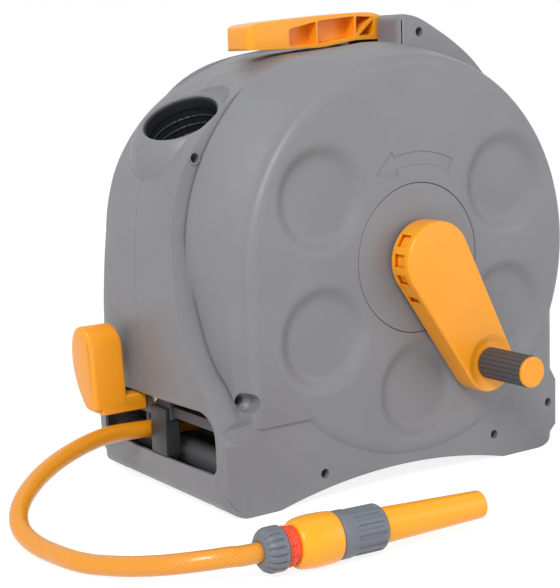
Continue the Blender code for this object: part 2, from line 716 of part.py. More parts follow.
# Bearing collars for the hub plate and the inlet, screw bosses, rail seats and the pin boss
collar_inner = HUB_PLATE_RADIUS + HUB_PLATE_CLEARANCE
collar = [
    (collar_inner - 0.001, CASING_HALF_WIDTH - 0.001),
    (collar_inner + WALL, CASING_HALF_WIDTH - 0.001),
    (collar_inner + WALL, CASING_HALF_WIDTH - BEARING_COLLAR_DEPTH),
    (collar_inner - 0.001, CASING_HALF_WIDTH - BEARING_COLLAR_DEPTH),
]
additions = [turned("bearing_collar", collar, CASING_SIDES, CRANKWARD)]
for number, (x, z) in enumerate(SCREW_PLACES):
    reach = SKIRT_HALF_WIDTH - 0.001 if z < LEDGE_HEIGHT else 0.1003
    additions.append(rod(f"screw_boss_{number}", SCREW_BOSS_RADIUS, (x, -reach, z), (x, reach, z)))
for number, (x, z) in enumerate(HOLSTER_SCREW_PLACES):
    reach = STRIP_HALF_WIDTH + 0.0012
    start = HOLSTER_LUG_END + SEAT_GAP
    additions.append(rod(f"pocket_boss_{number}", SCREW_BOSS_RADIUS, (x, -reach, z), (x, -start, z)))
for sign in (-1, 1):
    low, high = sorted((sign * (RAIL_HALF_LENGTH + SEAT_GAP), sign * RAIL_SEAT_END))
    seat = box(
        f"rail_seat_{sign}",
        (RAIL_FRONT - 0.001, low, RAIL_BOTTOM - 0.004),
        (RAIL_REAR + 0.003, high, RAIL_SEAT_TOP),
    )
    additions.append(seat)
    start = sign * (BAR_HALF_LENGTH + SEAT_GAP)
    end = sign * (SKIRT_HALF_WIDTH - 0.001)
    additions.append(rod(f"bar_seat_{sign}", BAR_RADIUS + 0.002, (BAR_X, start, BAR_Z), (BAR_X, end, BAR_Z)))
    boss_start = sign * CHANNEL_HALF_WIDTH + sign * 0.001
    boss_end = sign * (STRIP_HALF_WIDTH - 0.001)
    additions.append(
        rod(f"pin_boss_{sign}", PIN_BOSS_RADIUS, (PIVOT_X, boss_start, PIVOT_Z), (PIVOT_X, boss_end, PIVOT_Z))
    )
casing = join(casing, *additions)


def stepped_bore(name, x, z, mouth, seat, bore, end, start):
    """A hole along Y from the crank side: wide from the start to the seat, then narrow to the end."""
    profile = [(0, start), (mouth, start), (mouth, seat), (bore, seat), (bore, end), (0, end)]
    return turned(name, profile, 16, Matrix.Translation((x, 0, z)) @ Matrix.Rotation(math.radians(90), 4, "X"))


SCREW_MOUTH = SCREW_HEAD_RADIUS + 0.0005
SCREW_BORE = SCREW_SHANK_RADIUS + SCREW_CLEARANCE
exit_side = EXIT_HALF_WIDTH - EXIT_BOTTOM_CORNER
exit_low = EXIT_BOTTOM + EXIT_BOTTOM_CORNER
exit_outline = (
    arc((EXIT_HALF_WIDTH - EXIT_TOP_CORNER, EXIT_TOP - EXIT_TOP_CORNER), EXIT_TOP_CORNER, 0, 90, 5)
    + arc((EXIT_TOP_CORNER - EXIT_HALF_WIDTH, EXIT_TOP - EXIT_TOP_CORNER), EXIT_TOP_CORNER, 90, 180, 5)
    + arc((-exit_side, exit_low), EXIT_BOTTOM_CORNER, 180, 270, 3)
    + arc((exit_side, exit_low), EXIT_BOTTOM_CORNER, 270, 360, 3)
)
half_span = (ARCH_REAR - ARCH_FRONT) / 2
arch_radius = (half_span**2 + ARCH_RISE**2) / (2 * ARCH_RISE)
arch_half_angle = math.degrees(math.asin(half_span / arch_radius))
arch_middle = (ARCH_FRONT + ARCH_REAR) / 2
arch = arc((arch_middle, ARCH_RISE - arch_radius), arch_radius, 90 - arch_half_angle, 90 + arch_half_angle, 14)
arch = arch + [(ARCH_FRONT - 0.002, -0.01), (ARCH_REAR + 0.002, -0.01)]
wide = SKIRT_HALF_WIDTH - WALL
front_gap = SKIRT_HALF_WIDTH - FRONT_FOOT_WIDTH
rear_gap = SKIRT_HALF_WIDTH - REAR_FOOT_WIDTH
right_side = [
    (ARCH_FRONT - FOOT_LENGTH, -front_gap),
    (ARCH_FRONT, -front_gap),
    (ARCH_FRONT, -wide),
    (ARCH_REAR, -wide),
    (ARCH_REAR, -rear_gap),
    (SKIRT_REAR - 0.010, -rear_gap),
]
underside = right_side + [(x, -y) for x, y in reversed(right_side)]
hub_bore = [(0, 0.01), (collar_inner, 0.01), (collar_inner, 0.15), (0, 0.15)]
journal_bore = JOURNAL_RADIUS + SEAT_GAP
inlet_bore = [(0, -0.10), (journal_bore, -0.10), (journal_bore, -0.15), (0, -0.15)]
pocket_bore = [(0, 0.02), (POCKET_RADIUS, 0.02), (POCKET_RADIUS, -0.02), (0, -0.02)]
openings = [
    slab("exit_cutter", exit_outline, -0.260, SKIRT_FRONT + 0.006, "YZ"),
    slab("arch_cutter", arch, -0.14, 0.14, "XZ"),
    slab("underside", underside, -0.01, FLOOR_HEIGHT, "XY"),
    turned("hub_bore", hub_bore, CASING_SIDES, CRANKWARD),
    turned("inlet_bore", inlet_bore, 24, CRANKWARD),
    turned("pocket_bore", pocket_bore, 40, POCKET),
    box("channel", (-0.02, -CHANNEL_HALF_WIDTH, CHANNEL_FLOOR), (CHANNEL_REAR, CHANNEL_HALF_WIDTH, 0.48)),
    stepped_bore("pin_bore", PIVOT_X, PIVOT_Z, PIN_MOUTH_RADIUS, 0.050, PIN_RADIUS + SEAT_GAP, -0.050, 0.070),
    *dimples("dimple", 0),
]
bell = [(0, SCREW_BELL_START), (SCREW_MOUTH - 0.0003, SCREW_BELL_START)]
bell += [(SCREW_BELL_RADIUS, SCREW_BELL_START + 0.005), (SCREW_BELL_RADIUS, 0.15), (0, 0.15)]
openings.append(turned("bell", bell, 20, CRANK_FACE))
screw_end = -SCREW_REACH - 0.002
for number, (x, z) in enumerate(SCREW_PLACES):
    bore = stepped_bore(f"screw_bore_{number}", x, z, SCREW_MOUTH, SCREW_SEAT, SCREW_BORE, screw_end, 0.14)
    openings.append(bore)
seat = HOLSTER_LUG_END + 0.006
lug_face = HOLSTER_LUG_END - 0.001
for number, (x, z) in enumerate(HOLSTER_SCREW_PLACES):
    bore = stepped_bore(f"pocket_bore_{number}", x, z, SCREW_MOUTH, seat, SCREW_BORE, lug_face, 0.0725)
    openings.append(bore)
casing = cut(casing, *openings)

for name, low, high in (("front_shell", -0.20, -SEAM_GAP / 2), ("rear_shell", SEAM_GAP / 2, 0.20)):
    shell = helper(name, casing.data.copy())
    shell = common(shell, box(name + "_half", (-0.30, low, -0.01), (0.30, high, 0.50)))
    place(shell, "body_plastic", root)

# Empties on the joint axes. Local +Z of the drum and grip axes points out of the crank face.
drum_axis = make_empty("drum_axis", root, (0, 0, HUB_HEIGHT), (math.radians(90), 0, 0))
grip_axis = make_empty("grip_axis", drum_axis, (CRANK_RADIUS_X, CRANK_RADIUS_Z, 0))
guide_axis = make_empty("guide_axis", root, (0, 0, 0))
handle_axis = make_empty("handle_axis", root, (PIVOT_X, 0, PIVOT_Z))
connector_axis = make_empty("connector_axis", guide_axis, NUT_START, (0, math.radians(90), NOZZLE_TURN))


# Pocket cup, carry handle and its pin
def make_holster():
    outer = POCKET_RADIUS + HOLSTER_WALL
    top = -WALL * 1.1 - SEAT_GAP
    wall = [(0, -HOLSTER_DEPTH), (outer, -HOLSTER_DEPTH), (outer, 0.01), (0, 0.01)]
    cup = turned("nozzle_holster", wall, 32, POCKET)
    floor = HOLSTER_WALL - HOLSTER_DEPTH
    space = [(0, floor), (POCKET_RADIUS, floor), (POCKET_RADIUS, 0.02), (0, 0.02)]
    inner = turned("holster_inner", space, 32, POCKET)
    above = turned("holster_above", [(0, top), (0.07, top), (0.07, 0.05), (0, 0.05)], 32, POCKET)
    lugs = []
    bores = []
    for number, (x, z) in enumerate(HOLSTER_SCREW_PLACES):
        end = -HOLSTER_LUG_END
        lugs.append(rod(f"lug_{number}", HOLSTER_LUG_RADIUS, (x, -0.010, z), (x, end, z)))
        bores.append(rod(f"lug_bore_{number}", SCREW_BORE, (x, end + 0.012, z), (x, end - 0.01, z)))
    cup = cut(join(cup, *lugs), above, inner, *bores)
    return place(cup, "black_plastic", root)


make_holster()


def make_handle():
    eye = arc((PIVOT_X, PIVOT_Z), HANDLE_EYE_RADIUS, 45, -105, 8)
    outline = list(HANDLE_BOTTOM_POINTS)[::-1] + list(reversed(eye)) + list(reversed(HANDLE_TOP_POINTS))
    outline = [(x - PIVOT_X, z - PIVOT_Z) for x, z in outline]
    handle = slab("carry_handle", outline, -HANDLE_HALF_WIDTH, HANDLE_HALF_WIDTH, "XZ")
    plan = (
        [(0.03, -0.04), (0.03, 0.04)]
        + arc((HANDLE_FRONT - PIVOT_X + 0.010, HANDLE_HALF_WIDTH - 0.010), 0.010, 90, 180, 4)
        + arc((HANDLE_FRONT - PIVOT_X + 0.010, 0.010 - HANDLE_HALF_WIDTH), 0.010, 180, 270, 4)
    )
    handle = common(handle, slab("handle_plan", plan, -0.05, 0.05, "XY"))
    cuts = []
    for sign in (-1, 1):
        for number, pocket in enumerate(HANDLE_POCKETS):
            low, high = sorted((sign * HANDLE_WEB / 2, sign * 0.03))
            local = [(x - PIVOT_X, z - PIVOT_Z) for x, z in pocket]
            cuts.append(slab(f"handle_pocket_{number}_{sign}", local, low, high, "XZ"))
    cuts.append(rod("handle_bore", PIN_RADIUS + SEAT_GAP, (0, -0.03, 0), (0, 0.03, 0)))
    return place(cut(handle, *cuts), "orange_plastic", handle_axis)


make_handle()
pin = rod("handle_pin", PIN_RADIUS, (0, -PIN_HALF_LENGTH, 0), (0, PIN_HALF_LENGTH, 0))
place(pin, "steel", root, (PIVOT_X, 0, PIVOT_Z))


# Drum: barrel, flanges, hub plate and the hose wound on it
def drum_piece(name, profile, sides, material):
    return place(turned(name, profile, sides), material, drum_axis)


barrel = turned(
    "drum_barrel",
    [
        (BARREL_RADIUS - BARREL_WALL, -DRUM_HALF_LENGTH),
        (BARREL_RADIUS, -DRUM_HALF_LENGTH),
        (BARREL_RADIUS, DRUM_HALF_LENGTH),
        (BARREL_RADIUS - BARREL_WALL, DRUM_HALF_LENGTH),
    ],
    40,
)
port = rod("barrel_port", ELBOW_RADIUS + SEAT_GAP, (0, 0.07, -ELBOW_EXIT), (0, 0.10, -ELBOW_EXIT))
barrel = cut(barrel, port)
place(barrel, "inner_plastic", drum_axis)

flange_near = DRUM_HALF_LENGTH + SEAT_GAP
drum_piece(
    "front_flange",
    [
        (FLANGE_BORE, flange_near),
        (FLANGE_RADIUS, flange_near),
        (FLANGE_RADIUS, flange_near + FLANGE_THICKNESS),
        (FLANGE_BORE, flange_near + FLANGE_THICKNESS),
    ],
    CASING_SIDES,
    "inner_plastic",
)
drum_piece(
    "rear_flange",
    [
        (FLANGE_BORE, -flange_near),
        (FLANGE_RADIUS, -flange_near),
        (FLANGE_RADIUS, -flange_near - FLANGE_THICKNESS),
        (FLANGE_BORE + REAR_HUB_WALL, -flange_near - FLANGE_THICKNESS),
        (FLANGE_BORE + REAR_HUB_WALL, -REAR_HUB_END),
        (FLANGE_BORE, -REAR_HUB_END),
    ],
    CASING_SIDES,
    "inner_plastic",
)
plate_face = CASING_HALF_WIDTH + HUB_PLATE_PROUD
plate_foot = flange_near + FLANGE_THICKNESS + SEAT_GAP
drum_piece(
    "hub_plate",
    [
        (CRANK_SCREW_RADIUS + SCREW_CLEARANCE, plate_face),
        (HUB_PLATE_RADIUS, plate_face),
        (HUB_PLATE_RADIUS, plate_foot),
        (HUB_PLATE_RADIUS - WALL, plate_foot),
        (HUB_PLATE_RADIUS - WALL, plate_face - WALL),
        (HUB_BOSS_RADIUS, plate_face - WALL),
        (HUB_BOSS_RADIUS, plate_face - HUB_BOSS_DEPTH),
        (CRANK_SCREW_RADIUS + SCREW_CLEARANCE, plate_face - HUB_BOSS_DEPTH),
    ],
    CASING_SIDES,
    "body_plastic",
)
drum_piece(
    "hose_winding",
    [
        (BARREL_RADIUS + SEAT_GAP, -DRUM_HALF_LENGTH + 0.001),
        (WINDING_RADIUS, -DRUM_HALF_LENGTH + 0.001),
        (WINDING_RADIUS, DRUM_HALF_LENGTH - 0.001),
        (BARREL_RADIUS + SEAT_GAP, DRUM_HALF_LENGTH - 0.001),
    ],
    40,
    "hose_pvc",
)


def tube(name, points, radius, resolution=2):
    curve = bpy.data.curves.new(name, "CURVE")
    curve.dimensions = "3D"
    curve.bevel_depth = radius
    curve.bevel_resolution = resolution
    curve.use_fill_caps = True
    spline = curve.splines.new("POLY")
    spline.points.add(len(points) - 1)
    for point, place_at in zip(spline.points, points):
        point.co = (*place_at, 1.0)
    return bpy.data.objects.new(name, curve)


# Water path: fixed inlet at the back, sealed swivel and an elbow out through the barrel
inlet_face = CASING_HALF_WIDTH + SEAT_GAP
inlet_inner = 0.092
inlet = turned(
    "inlet_fitting",
    [
        (INLET_BORE, -inlet_face - INLET_LENGTH),
        (INLET_SPIGOT_RADIUS, -inlet_face - INLET_LENGTH),
        (INLET_SPIGOT_RADIUS, -inlet_face - 0.028),
        (INLET_SPIGOT_RADIUS - 0.0011, -inlet_face - 0.027),
        (INLET_SPIGOT_RADIUS - 0.0011, -inlet_face - 0.023),
        (INLET_SPIGOT_RADIUS, -inlet_face - 0.022),
        (INLET_SPIGOT_RADIUS, -inlet_face - 0.013),
        (0.0130, -inlet_face - 0.013),
        (0.0130, -inlet_face - INLET_FLANGE_THICKNESS),
        (INLET_FLANGE_RADIUS, -inlet_face - INLET_FLANGE_THICKNESS),
        (INLET_FLANGE_RADIUS, -inlet_face),
        (JOURNAL_RADIUS, -inlet_face),
        (JOURNAL_RADIUS, -inlet_inner),
        (SWIVEL_BORE, -inlet_inner),
        (SWIVEL_BORE, -0.112),
        (INLET_BORE, -0.112),
    ],
    24,
    CRANKWARD,
)
place(inlet, "orange_plastic", root)
elbow_points = [(0, 0, -0.1085), (0, 0, -ELBOW_EXIT - ELBOW_BEND)]
for step in range(1, 8):
    turn = math.radians(90 * step / 8)
    elbow_points.append((0, ELBOW_BEND * (1 - math.cos(turn)), -ELBOW_EXIT - ELBOW_BEND * (1 - math.sin(turn))))
elbow_points += [(0, ELBOW_BEND, -ELBOW_EXIT), (0, BARREL_RADIUS - 0.0005, -ELBOW_EXIT)]
elbow = tube("outlet_elbow", elbow_points, ELBOW_RADIUS)
parts.objects.link(elbow)
place(elbow, "inner_plastic", drum_axis)
seal_start = 0.098
drum_piece(
    "inlet_seal",
    [
        (ELBOW_RADIUS + SEAT_GAP, -seal_start),
        (SWIVEL_BORE - SEAT_GAP, -seal_start),
        (SWIVEL_BORE - SEAT_GAP, -seal_start - 0.002),
        (ELBOW_RADIUS + SEAT_GAP, -seal_start - 0.002),
    ],
    24,
    "seal_rubber",
)
clamp = turned(
    "tail_clamp",
    [(ELBOW_RADIUS + SEAT_GAP, -0.004), (0.0095, -0.004), (0.0095, 0.004), (ELBOW_RADIUS + SEAT_GAP, 0.004)],
    24,
    Matrix.Translation((0, 0.070, -ELBOW_EXIT)) @ Matrix.Rotation(math.radians(90), 4, "X"),
)
place(clamp, "steel", drum_axis)


# Crank: arm on the hub plate, screw from behind, spindle and grip
def make_crank_arm():
    length = math.hypot(CRANK_RADIUS_X, CRANK_RADIUS_Z)
    heading = math.degrees(math.atan2(CRANK_RADIUS_Z, CRANK_RADIUS_X))
    splay = math.degrees(math.acos((CRANK_HUB_RADIUS - CRANK_TIP_RADIUS) / length))
    outline = arc((0, 0), CRANK_HUB_RADIUS, heading + splay, heading + 360 - splay, 22)
    outline += arc((CRANK_RADIUS_X, CRANK_RADIUS_Z), CRANK_TIP_RADIUS, heading - splay, heading + splay, 14)
    arm = slab("crank_arm", outline, CRANK_BACK, CRANK_FRONT, "XY")
    bevel(arm, 0.003, 2)
    seat_low = plate_face + SEAT_GAP
    seat_high = CRANK_BACK + 0.002
    seat = [(0, seat_low), (CRANK_SEAT_RADIUS, seat_low), (CRANK_SEAT_RADIUS, seat_high), (0, seat_high)]
    arm = join(baked(arm), turned("crank_seat", seat, 24))
    cavity = slab("crank_cavity", inset(outline, CRANK_WALL), CRANK_BACK - 0.004, CRANK_FRONT - CRANK_WALL, "XY")
    tip_low = (CRANK_RADIUS_X, CRANK_RADIUS_Z, 0.12)
    tip_high = (CRANK_RADIUS_X, CRANK_RADIUS_Z, 0.17)
    cavity = cut(
        cavity,
        rod("hub_boss", CRANK_HUB_BOSS_RADIUS, (0, 0, 0.12), (0, 0, 0.17), 24),
        rod("tip_boss", CRANK_TIP_BOSS_RADIUS, tip_low, tip_high, 20),
    )
    windows = [cavity]
    for angle in CRANK_WINDOW_ANGLES:
        turn = Matrix.Rotation(math.radians(angle), 4, "Z")
        low = (CRANK_HUB_RADIUS - CRANK_WALL - 0.003, -0.006, CRANK_BACK + 0.006)
        high = (CRANK_HUB_RADIUS + 0.01, 0.006, CRANK_FRONT - 0.008)
        windows.append(box(f"crank_window_{angle}", low, high, turn))
    bore = CRANK_SCREW_RADIUS + SCREW_CLEARANCE
    windows.append(rod("crank_bore", bore, (0, 0, 0.12), (0, 0, CRANK_FRONT - 0.009)))
    socket_low = (CRANK_RADIUS_X, CRANK_RADIUS_Z, CRANK_FRONT - 0.010)
    socket_high = (CRANK_RADIUS_X, CRANK_RADIUS_Z, CRANK_FRONT + 0.01)
    windows.append(rod("spindle_socket", SPINDLE_RADIUS + SEAT_GAP, socket_low, socket_high, 20))
    return place(cut(arm, *windows), "orange_plastic", drum_axis)


make_crank_arm()
screw_seat = plate_face - HUB_BOSS_DEPTH - SEAT_GAP
drum_piece(
    "crank_screw",
    [
        (0, screw_seat - 0.004),
        (0.0060, screw_seat - 0.004),
        (0.0060, screw_seat),
        (CRANK_SCREW_RADIUS, screw_seat),
        (CRANK_SCREW_RADIUS, CRANK_FRONT - 0.010),
        (0, CRANK_FRONT - 0.010),
    ],
    16,
    "steel",
)
grip_start = CRANK_FRONT + SEAT_GAP
grip_end = grip_start + GRIP_LENGTH
spindle = turned(
    "grip_spindle",
    [
        (0, CRANK_FRONT - 0.0095),
        (SPINDLE_RADIUS, CRANK_FRONT - 0.0095),
        (SPINDLE_RADIUS, grip_end + SEAT_GAP),
        (CAP_RADIUS, grip_end + SEAT_GAP),
        (CAP_RADIUS, grip_end + SEAT_GAP + CAP_THICKNESS - 0.0012),
        (CAP_RADIUS - 0.0012, grip_end + SEAT_GAP + CAP_THICKNESS),
        (0, grip_end + SEAT_GAP + CAP_THICKNESS),
    ],
    32,
)
place(spindle, "orange_plastic", drum_axis, (CRANK_RADIUS_X, CRANK_RADIUS_Z, 0))


def make_grip():
    outline = []
    for rib in range(GRIP_RIBS):
        for share, radius in ((0.0, GRIP_RADIUS), (0.55, GRIP_RADIUS), (0.78, GRIP_RADIUS - GRIP_RIB_DEPTH)):
            turn = 2 * math.pi * (rib + share) / GRIP_RIBS
            outline.append((radius * math.cos(turn), radius * math.sin(turn)))
    grip = slab("crank_grip", outline, grip_start, grip_end, "XY")
    grip = cut(grip, rod("grip_bore", GRIP_BORE, (0, 0, grip_start - 0.01), (0, 0, grip_end + 0.01), 24))
    return place(grip, "grip_rubber", grip_axis)


make_grip()


# Hose guide: rail and bar in the casing, sliding carriage, posts and lever
rail = box("guide_rail", (RAIL_FRONT, -RAIL_HALF_LENGTH, RAIL_BOTTOM), (RAIL_REAR, RAIL_HALF_LENGTH, RAIL_TOP))
place(rail, "inner_plastic", root)
bar = rod("hose_bar", BAR_RADIUS, (BAR_X, -BAR_HALF_LENGTH, BAR_Z), (BAR_X, BAR_HALF_LENGTH, BAR_Z), 24)
place(bar, "body_plastic", root)


def make_carriage():
    carriage = box(
        "guide_carriage",
        (CARRIAGE_FRONT, CARRIAGE_NEAR, CARRIAGE_BOTTOM),
        (CARRIAGE_REAR, CARRIAGE_FAR, CARRIAGE_TOP),
    )
    channel = box(
        "carriage_channel",
        (RAIL_FRONT - RAIL_CLEARANCE, -0.1, RAIL_BOTTOM - RAIL_CLEARANCE),
        (RAIL_REAR + RAIL_CLEARANCE, 0.1, RAIL_TOP + RAIL_CLEARANCE),
    )
    bore = rod(
        "guide_screw_bore",
        SCREW_SHANK_RADIUS + SCREW_CLEARANCE,
        (CARRIAGE_FRONT - 0.01, GUIDE_SCREW_Y, GUIDE_SCREW_Z),
        (CARRIAGE_FRONT + 0.012, GUIDE_SCREW_Y, GUIDE_SCREW_Z),
    )
    return place(cut(carriage, channel, bore), "inner_plastic", guide_axis)


make_carriage()
lip_back = CARRIAGE_FRONT - SEAT_GAP
post_top = CARRIAGE_BOTTOM - SEAT_GAP
near_post_outline = [
    (POST_FRONT, POST_BOTTOM),
    (POST_REAR, POST_BOTTOM),
    (POST_REAR, post_top),
    (lip_back, post_top),
    (lip_back, POST_LIP_TOP),
    (POST_FRONT, POST_LIP_TOP),
]
near_post = slab("guide_post_near", near_post_outline, CARRIAGE_NEAR, POST_FAR, "XZ")
place(near_post, "black_plastic", guide_axis)
far_post = box(
    "guide_post_far",
    (POST_REAR - 0.004, FAR_POST_NEAR, FAR_POST_BOTTOM),
    (CARRIAGE_REAR, FAR_POST_NEAR + FAR_POST_WIDTH, post_top),
)
place(far_post, "black_plastic", guide_axis)


def make_lever():
    """A paddle in front of the casing on a stub that reaches the carriage under the top of the exit."""
    outline = [(LEVER_NEAR + y, z) for y, z in LEVER_POINTS]
    front = LEVER_BACK - LEVER_THICKNESS
    paddle = slab("guide_lever", outline, front, LEVER_BACK, "YZ")
    bm = bmesh.new()
    bm.from_mesh(paddle.data)
    foot = min(z for y, z in LEVER_POINTS)
    top = max(z for y, z in LEVER_POINTS)
    for vertex in bm.verts:
        share = max((vertex.co.z - 0.125) / (top - 0.125), 0.0)
        vertex.co.x -= LEVER_LEAN * share * share
    bm.to_mesh(paddle.data)
    bm.free()
    bevel(paddle, 0.0045, 2)
    paddle = baked(paddle)
    stub_low = (front + 0.006, LEVER_NEAR + 0.0004, foot - LEVER_STUB_DROP)
    stub_high = (CARRIAGE_FRONT - SEAT_GAP, LEVER_NEAR + 0.022, CARRIAGE_TOP - 0.0008)
    stub = box("lever_stub", stub_low, stub_high)
    return place(join(paddle, stub), "orange_plastic", guide_axis)


make_lever()
guide_screw = turned(
    "guide_screw",
    [
        (0, -0.010),
        (SCREW_SHANK_RADIUS, -0.010),
        (SCREW_SHANK_RADIUS, SEAT_GAP),
        (0.0035, SEAT_GAP),
        (0.0035, 0.0016),
        (0.0022, 0.0026),
        (0, 0.0026),
    ],
    16,
    Matrix.Translation((CARRIAGE_FRONT, GUIDE_SCREW_Y, GUIDE_SCREW_Z)) @ Matrix.Rotation(math.radians(-90), 4, "Y"),
)
place(guide_screw, "steel", guide_axis)


# Hose from the drum to the guide, and the free hose outside
def make_hose(name, route, steps):
    hose = tube(name, smooth(route, steps), HOSE_RADIUS, 2)
    parts.objects.link(hose)
    return place(hose, "hose_pvc", guide_axis)


make_hose("lead_hose", LEAD_ROUTE, 2)
make_hose("free_hose", FREE_ROUTE, 1)


# Connector and nozzle at the hose end
def connector_piece(name, profile, sides, material):
    return place(turned(name, profile, sides), material, connector_axis)


nut_end = NUT_LENGTH
ring_start = nut_end + SEAT_GAP
sleeve_end = SLEEVE_START + SLEEVE_LENGTH
collar_start = sleeve_end + SEAT_GAP + 0.0002
collar_end = collar_start + COLLAR_LENGTH
barrel_start = collar_end + SEAT_GAP
barrel_end = barrel_start + BARREL_LENGTH
step_at = SLEEVE_START + 0.008
connector_piece(
    "connector_nut",
    [
        (0, 0.010),
        (HOSE_RADIUS + SEAT_GAP, 0.010),
        (HOSE_RADIUS + SEAT_GAP, 0),
        (0.0125, 0),
        (0.0165, 0.003),
        (NUT_RADIUS, 0.007),
        (NUT_RADIUS, nut_end - 0.002),
        (NUT_RADIUS - 0.002, nut_end),
        (0, nut_end),
    ],
    24,
    "connector_grey",
)
connector_piece(
    "connector_core",
    [
        (0, ring_start),
        (RING_RADIUS, ring_start),
        (RING_RADIUS, ring_start + RING_LENGTH),
        (NECK_RADIUS, ring_start + RING_LENGTH),
        (NECK_RADIUS, step_at),
        (CORE_RADIUS, step_at),
        (CORE_RADIUS, sleeve_end),
        (STEM_RADIUS + SEAT_GAP, sleeve_end),
        (STEM_RADIUS + SEAT_GAP, 0.055),
        (0, 0.055),
    ],
    24,
    "red_plastic",
)
connector_piece(
    "connector_sleeve",
    [
        (NECK_RADIUS + SEAT_GAP, SLEEVE_START),
        (SLEEVE_RADIUS - 0.003, SLEEVE_START),
        (SLEEVE_RADIUS - 0.0008, SLEEVE_START + 0.006),
        (SLEEVE_RADIUS, SLEEVE_START + 0.016),
        (SLEEVE_RADIUS - 0.0004, sleeve_end - 0.004),
        (SLEEVE_RADIUS - 0.0012, sleeve_end),
        (CORE_RADIUS + SEAT_GAP, sleeve_end),
        (CORE_RADIUS + SEAT_GAP, step_at + SLEEVE_TRAVEL + SEAT_GAP),
        (NECK_RADIUS + SEAT_GAP, step_at + SLEEVE_TRAVEL + SEAT_GAP),
    ],
    32,
    "yellow_plastic",
)
connector_piece(
    "nozzle_stem",
    [
        (0, 0.0555),
        (STEM_RADIUS, 0.0555),
        (STEM_RADIUS, collar_start),
        (STEM_BODY_RADIUS, collar_start),
        (STEM_BODY_RADIUS, barrel_start + 0.022),
        (0.0035, barrel_start + 0.030),
        (0.0035, barrel_start + 0.060),
        (0, barrel_start + 0.062),
    ],
    20,
    "connector_grey",
)
connector_piece(
    "nozzle_collar",
    [
        (STEM_BODY_RADIUS + SEAT_GAP, collar_start),
        (COLLAR_RADIUS + 0.0006, collar_start),
        (COLLAR_RADIUS + 0.0006, collar_start + 0.010),
        (COLLAR_RADIUS, collar_end - 0.003),
        (COLLAR_RADIUS - 0.003, collar_end),
        (STEM_BODY_RADIUS + SEAT_GAP, collar_end),
    ],
    32,
    "connector_grey",
)
connector_piece(
    "nozzle_barrel",
    [
        (STEM_BODY_RADIUS + SEAT_GAP, barrel_start),
        (BARREL_BACK_RADIUS, barrel_start),
        (BARREL_TIP_RADIUS + 0.0006, barrel_end - 0.0015),
        (BARREL_TIP_RADIUS - 0.0004, barrel_end),
        (BARREL_TIP_BORE, barrel_end),
        (BARREL_TIP_BORE, barrel_start + 0.030),
        (STEM_BODY_RADIUS + SEAT_GAP, barrel_start + 0.024),
    ],
    28,
    "yellow_plastic",
)


# Casing screws
def make_screw(name, x, z, seat, reach):
    profile = [
        (0, seat + SEAT_GAP + SCREW_HEAD_HEIGHT),
        (SCREW_HEAD_RADIUS, seat + SEAT_GAP + SCREW_HEAD_HEIGHT - 0.001),
        (SCREW_HEAD_RADIUS, seat + SEAT_GAP),
        (SCREW_SHANK_RADIUS, seat + SEAT_GAP),
        (SCREW_SHANK_RADIUS, -reach),
        (0, -reach),
    ]
    turn = Matrix.Translation((x, 0, z)) @ Matrix.Rotation(math.radians(90), 4, "X")
    return place(turned(name, profile, 12, turn), "steel", root)


for number, (x, z) in enumerate(SCREW_PLACES, 1):
    make_screw(f"casing_screw_{number}", x, z, SCREW_SEAT, SCREW_REACH)
for number, (x, z) in enumerate(HOLSTER_SCREW_PLACES, 1):
    make_screw(f"holster_screw_{number}", x, z, HOLSTER_LUG_END + 0.006, -(HOLSTER_LUG_END - 0.011))


# The root empty moves so that the object, without its free hose and nozzle, stands centred on the origin.
def centre_on_origin():
    bpy.context.view_layer.update()
    free = {"free_hose", "connector_nut", "connector_core", "connector_sleeve"}
    free |= {"nozzle_stem", "nozzle_collar", "nozzle_barrel"}
    corners = [
        obj.matrix_world @ Vector(corner)
        for obj in parts.objects
        if obj.type != "EMPTY" and obj.name not in free
        for corner in obj.bound_box
    ]
    low = [min(c[i] for c in corners) for i in range(3)]
    high = [max(c[i] for c in corners) for i in range(3)]
    root.location = (-(low[0] + high[0]) / 2, -(low[1] + high[1]) / 2, 0.0)
    bpy.context.view_layer.update()
    print("base offset", [round(v, 6) for v in root.location], "low", low, "high", high)


centre_on_origin()
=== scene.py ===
import math

import bmesh
import bpy
from mathutils import Matrix, Vector


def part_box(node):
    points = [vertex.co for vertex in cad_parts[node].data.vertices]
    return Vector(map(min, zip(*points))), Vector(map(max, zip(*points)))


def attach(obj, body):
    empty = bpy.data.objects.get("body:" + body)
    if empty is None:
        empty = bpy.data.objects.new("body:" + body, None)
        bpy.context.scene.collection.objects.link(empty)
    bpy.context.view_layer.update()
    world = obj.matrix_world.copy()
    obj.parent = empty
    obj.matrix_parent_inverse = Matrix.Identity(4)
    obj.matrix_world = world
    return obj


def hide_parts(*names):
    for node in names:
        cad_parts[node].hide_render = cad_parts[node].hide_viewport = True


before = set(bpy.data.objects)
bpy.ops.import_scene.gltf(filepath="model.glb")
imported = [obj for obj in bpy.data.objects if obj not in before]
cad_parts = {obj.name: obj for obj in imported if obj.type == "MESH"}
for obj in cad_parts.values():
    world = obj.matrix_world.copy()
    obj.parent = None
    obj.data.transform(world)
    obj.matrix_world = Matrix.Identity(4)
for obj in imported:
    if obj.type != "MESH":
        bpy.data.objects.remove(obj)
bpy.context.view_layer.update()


def moved(x, y, z):
    return Matrix.Translation((x, y, z))


def turned(degrees, axis):
    return Matrix.Rotation(math.radians(degrees), 4, axis)


def facingOut(x, y, z):
    # a place whose local Z leaves the crank's side
    return moved(x, y, z) @ turned(90, "X")


